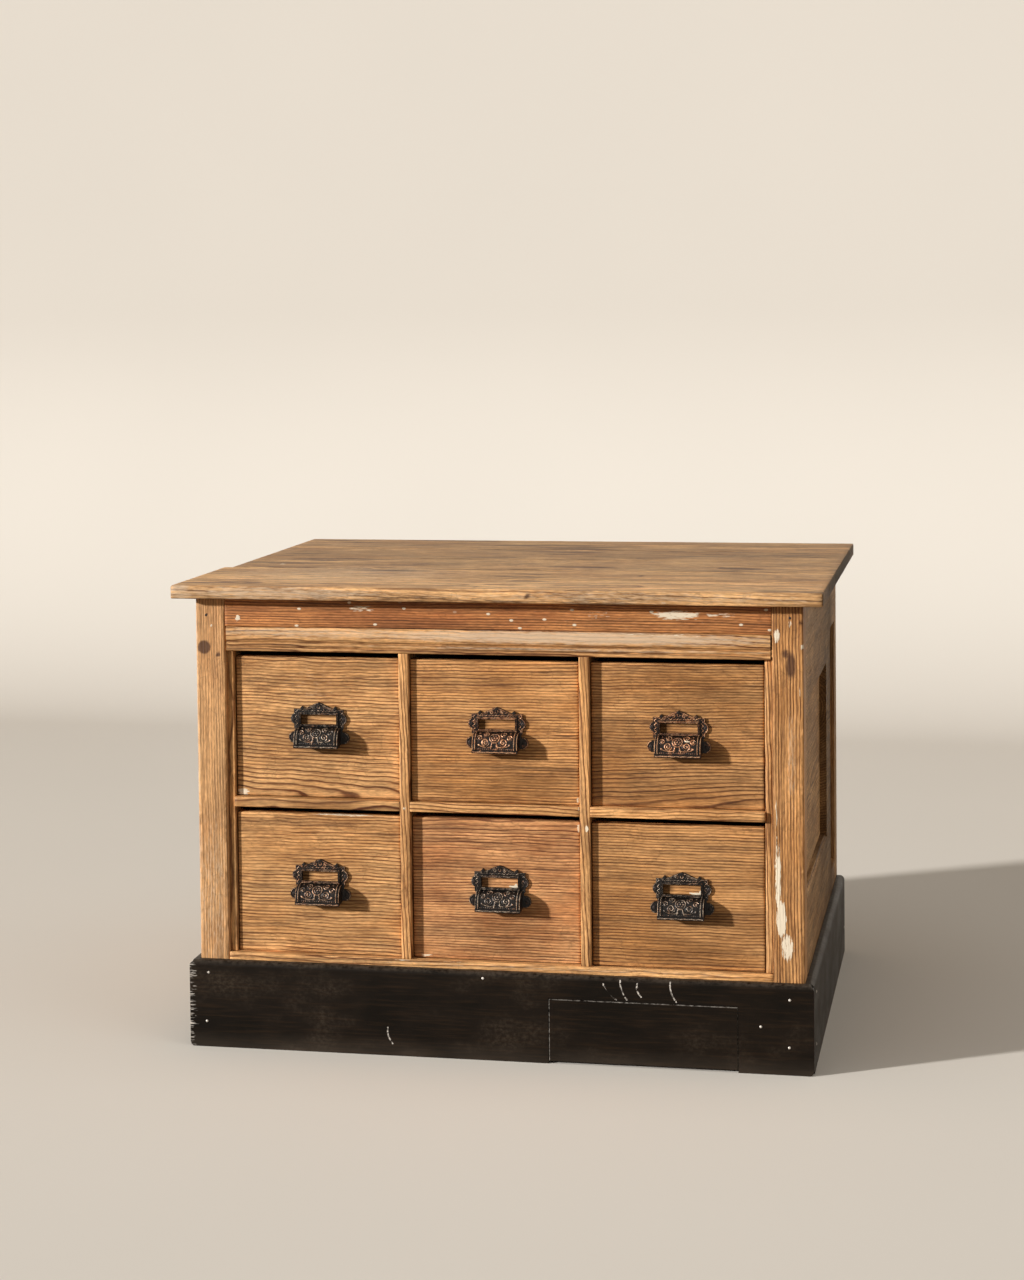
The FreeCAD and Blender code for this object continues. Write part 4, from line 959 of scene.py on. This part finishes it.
def cup_skin(pile, origin, number):
    """The ornamented face of the cup, a thin closed shell let into it."""
    across = np.linspace(-CUP_HALF, CUP_HALF, 79)
    down = np.linspace(CUP_RIM, CUP_LENGTH, 53)
    outer, inner, relief = [], [], []
    for v in down:
        for u in across:
            edge = max(0, min(v - CUP_RIM, CUP_LENGTH - v, CUP_HALF - abs(u), 1.0))
            height = cup_relief(u, v)
            grit = noise.noise(Vector((u * 0.7, v * 0.7, number * 9.0))) * 0.14
            raised = cup_place(v, (0.08 + 1.15 * height + grit) * edge - 0.1 * (1 - edge))
            for side, (y, z) in ((outer, raised), (inner, cup_place(v, -0.8))):
                side.append(tuple(origin + Vector((u, y, z)) * MM))
            relief.append(height)
    columns, rows = len(across), len(down)
    total = columns * rows
    faces = []
    for j in range(rows - 1):
        for i in range(columns - 1):
            a = j * columns + i
            faces.append((a, a + columns, a + columns + 1, a + 1))
            faces.append((a + total, a + total + 1, a + total + columns + 1, a + total + columns))
    rim = list(range(columns))
    rim += [j * columns + columns - 1 for j in range(1, rows)]
    rim += [(rows - 1) * columns + i for i in range(columns - 2, -1, -1)]
    rim += [j * columns for j in range(rows - 2, 0, -1)]
    for a, b in zip(rim, rim[1:] + rim[:1]):
        faces.append((a, b, b + total, a + total))
    pile.add(outer + inner, faces, relief=np.array(relief + [0.0] * total))


def tube(pile, path, radius, closed=False, rubbed_and_glint=1.0):
    """A proud line of the casting: a rod of even thickness along a path, with closed ends."""
    sides = 6
    count = len(path)
    points = []
    across = None
    for number, point in enumerate(path):
        before = path[number - 1] if number or closed else point
        after = path[(number + 1) % count] if number < count - 1 or closed else point
        ahead = (after - before).normalized()
        if across is None:
            across = ahead.orthogonal().normalized()
        across = (across - ahead * across.dot(ahead)).normalized()
        other = ahead.cross(across)
        for step in range(sides):
            angle = 2 * math.pi * step / sides
            points.append(tuple(point + (across * math.cos(angle) + other * math.sin(angle)) * radius))
    pile.add(points, ring_faces(count, sides, closed), relief=np.full(len(points), rubbed_and_glint))


def arc(centre, radius, first, last, steps=14):
    """Points (u, v) of an arc, its angles in degrees."""
    turns = np.radians(np.linspace(first, last, steps))
    return [(centre[0] + radius * math.cos(a), centre[1] + radius * math.sin(a)) for a in turns]


def scroll(centre, reach, turns, sign):
    """Points (u, v) of a scroll, from its rim in to its eye."""
    count = int(turns * 12)
    first = 0 if sign > 0 else math.pi
    points = []
    for number in range(count + 1):
        share = number / count
        away = reach * (1 - 0.8 * share)
        angle = first + sign * share * turns * 2 * math.pi
        points.append((centre[0] + away * math.cos(angle), centre[1] + away * math.sin(angle)))
    return points


def frame_lines():
    """Proud lines of the label frame: (points, radius, lift from the plate, closed), in millimetres."""
    lines = []

    def add(path, radius=0.6, lift=0.1, closed=False):
        lines.append((path, radius, lift, closed))

    flank = [(26.5, 15.6), (21.5, 17.0), (15.0, 19.3), (8.8, 22.6), (4.5, 24.0)]
    add([(-u, v) for u, v in flank] + [(0, 24.6)] + flank[::-1], 0.75)
    add(arc((0, 19.6), 2.3, 0, 340, 12), 0.7, closed=True)
    add([(-32 + i, 13.2 + 0.9 * math.sin(i * 1.25)) for i in range(65)])
    for grow in (2.7, 0.7):
        left, high, low = 30.2 + grow, 7.5 + grow, -9.0 - grow
        add([(-left, low), (left, low), (left, high), (-left, high)], lift=3.0, closed=True)
    for sign in (-1, 1):
        stem = [(sign * 24, 14.9), (sign * 19, 16.2), (sign * 14.5, 17.6)]
        add(stem + scroll((sign * 8.6, 18.4), 3.6, 1.5, sign), 0.65)
        for lobe in (arc((37.5, 0), 9.0, -70, 70), arc((42.0, -31), 8.5, -75, 75)):
            add([(sign * u, v) for u, v in lobe], 0.75)
        add([(sign * (37.7 + 1.7 * math.sin(i * 0.8)), -12.8 + 0.9 * i) for i in range(30)])
        for start, end in (((41.2, 15.2), (41.2, 8.5)), ((41.2, -8.5), (41.2, -14.2)),
                           ((41.2, 15.2), (29.5, 15.2))):
            add([(sign * start[0], start[1]), (sign * end[0], end[1])])
    return lines


def pull_piece(name, number, body, material):
    """The pull's own shape, with the proud lines and the carved cup of the casting."""
    origin = pull_origin(name)
    points, faces, worn, _ = dressed_shape(name + "_pull", 0.6 * MM, shortest=2.2 * MM)
    pile = Pile()
    # Eased edges count as proud metal: worn bright and given painted glints by the iron shader
    pile.add(points, faces, relief=worn * 0.6)
    for path, radius, lift, closed in frame_lines():
        spots = [origin + Vector((u, -PLATE - lift, v)) * MM for u, v in path]
        tube(pile, spots, radius * MM, closed, 0.75)
    for u, lift in ((-36.3, 0.1), (-32.0, 1.2), (32.0, 1.2), (36.3, 0.1)):
        down = np.linspace(1, CUP_LENGTH - 1, 22)
        tube(pile, [origin + Vector((u, *cup_place(v, lift))) * MM for v in down], 0.6 * MM)
    lip = [origin + Vector((u, LIP[0], LIP[1] + 0.35 * math.sin(u * 0.5 + number))) * MM
           for u in np.linspace(-36, 36, 25)]
    tube(pile, lip, 0.7 * MM)
    cup_skin(pile, origin, number)
    marks = []
    if name == "top_right":
        marks.append((PAINT, tuple(origin + Vector((15, -16, -19)) * MM), (0.006, 0.02, 0.0018), 0.85))
    pile.piece(name + "_pull_cast", material, body, [name + "_pull"], marks)


def screw_heads(name, number, body):
    pile = Pile()
    for count, (x, z) in enumerate(((-43.2, 0), (43.2, 0), (-45, -31), (45, -31))):
        centre = pull_origin(name) + Vector((x, -PLATE, z)) * MM
        dome(pile, centre, 3.1 * MM, 1.3 * MM, slot_turn=0.6 + count * 1.1 + number * 0.7)
    pile.piece(name + "_screw_heads", NAIL_IRON, body, [name + "_pull_screws"])


def drawer(name, number):
    body = "drawer_" + name
    material, tone, seed, pith, metal = FRONT_LOOK[name]
    low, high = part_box(name + "_front")
    centre = pull_origin(name)
    # Painted shadow: shade marks at the left of the label window and beside and below the cup, where the
    # pull casts shadow
    dirt_and_painted_shadow = [
        (SHADE, centre.x - 0.024, centre.z, 0.010, 0.011, 1.2),
        (SHADE, centre.x + 0.046, centre.z - 0.044, 0.028, 0.013, 0.8),
        (SHADE, centre.x + 0.010, centre.z - 0.050, 0.040, 0.007, 0.8),
    ]
    pile = Pile()
    inset = Vector((0.3 * MM, 0, 0))
    worn_board(pile, low + inset, high - inset, seed, 3.5 * MM, 1.7 * MM, 1.0 * MM, pith, 0, tone)
    marks = on_front(low.y, dirt_and_painted_shadow + FRONT_MARKS[name])
    pile.piece(name + "_front_wood", material, body, [name + "_front"], marks)
    dressed(name + "_sides", BARE_PINE, 60 + number * 3.3, 0.5 * MM, body, along=1)
    dressed(name + "_back", BARE_PINE, 80 + number * 2.1, 0.7 * MM, body)
    dressed(name + "_bottom", BARE_PINE, 95 + number * 2.7, 0.5 * MM, body)
    pull_piece(name, number, body, metal)
    screw_heads(name, number, body)


for number, name in enumerate(FRONT_LOOK):
    drawer(name, number)


# Floor and backdrop: one pale sheet that rises behind the cabinet
def pale(name, seen, lit):
    """Pale where the camera or a reflection sees it, and darker for the light it throws back."""
    s = Shader(name)
    cloud = s.noise(s.new("TexCoord").outputs["Object"], (1.2, 1.2, 1.2), 1.0)
    colour = s.mix(s.looked_at(), lit, seen)
    s.give("Base Color", s.bright(colour, s.line(cloud, 0.04, 0.98)))
    s.give("Roughness", 0.9)
    s.give("Specular IOR Level", 0.1)
    return s.material


def backdrop():
    near, far, bend, height, half = -9.0, 2.6, 1.2, 6.0, 16.0
    rise = [(near, 0.0), (far, 0.0)]
    for angle in np.linspace(0.1, math.pi / 2, 16):
        rise.append((far + bend * math.sin(angle), bend * (1 - math.cos(angle))))
    rise.append((far + bend, height))
    points = [(x, y, z) for x in (-half, half) for y, z in rise]
    count = len(rise)
    mesh = bpy.data.meshes.new("studio_floor")
    mesh.from_pydata(points, [], [(i, count + i, count + i + 1, i + 1) for i in range(count - 1)])
    mesh.shade_smooth()
    mesh.materials.append(pale("studio_floor", (226, 221, 213), (128, 112, 92)))
    floor = placed("studio_floor", mesh)


def light(name, kind, energy, colour, towards, **settings):
    """A lamp that shines from the side that towards points to."""
    data = bpy.data.lights.new(name, kind)
    data.energy = energy
    data.color = colour
    for key, value in settings.items():
        setattr(data, key, value)
    made = placed(name, data)
    if towards:
        made.rotation_euler = Vector(towards).normalized().to_track_quat("Z", "Y").to_euler()
    return made


backdrop()

# Light: a sun from the left and front, a soft one from the right, a lamp overhead and an even world
light("key", "SUN", 4.9, (1.0, 0.97, 0.93), (-1.7, -1.0, 0.52), angle=math.radians(3))
overhead = light("overhead", "AREA", 18, (1, 1, 1), None, shape="RECTANGLE", size=3.0, size_y=2.0)
overhead.location = (-0.2, -0.6, 3.4)
light("fill", "SUN", 0.55, (1.0, 0.93, 0.84), (1.0, -0.1, 0.45), angle=math.radians(70))
studio = Shader("studio", world=True)
studio.give("Color", (1, 0.92, 0.81, 1))
studio.give("Strength", studio.line(studio.looked_at(), 0.36, 0.26))
bpy.context.scene.world = studio.material

# Camera, at the photograph's place
YAW, PITCH, ROLL = 0.1958, 0.0428, -0.0101
PLACE = (0.8054, -4.2552, 1.2185)
right = Vector((math.cos(YAW), math.sin(YAW), 0))
ahead = Vector((-math.sin(YAW) * math.cos(PITCH), math.cos(YAW) * math.cos(PITCH), -math.sin(PITCH)))
over = right.cross(ahead)
turned_right = right * math.cos(ROLL) + over * math.sin(ROLL)
turned_up = over * math.cos(ROLL) - right * math.sin(ROLL)
optics = bpy.data.cameras.new("camera")
optics.sensor_fit = "VERTICAL"
optics.sensor_height = 36
optics.lens = 69.39
optics.shift_y = -0.1774
optics.clip_end = 50
camera = placed("camera", optics)
turn = Matrix((turned_right, turned_up, -ahead)).transposed()
camera.matrix_world = Matrix.Translation(PLACE) @ turn.to_4x4()
bpy.context.scene.camera = camera
bpy.context.scene.view_settings.view_transform = "Standard"
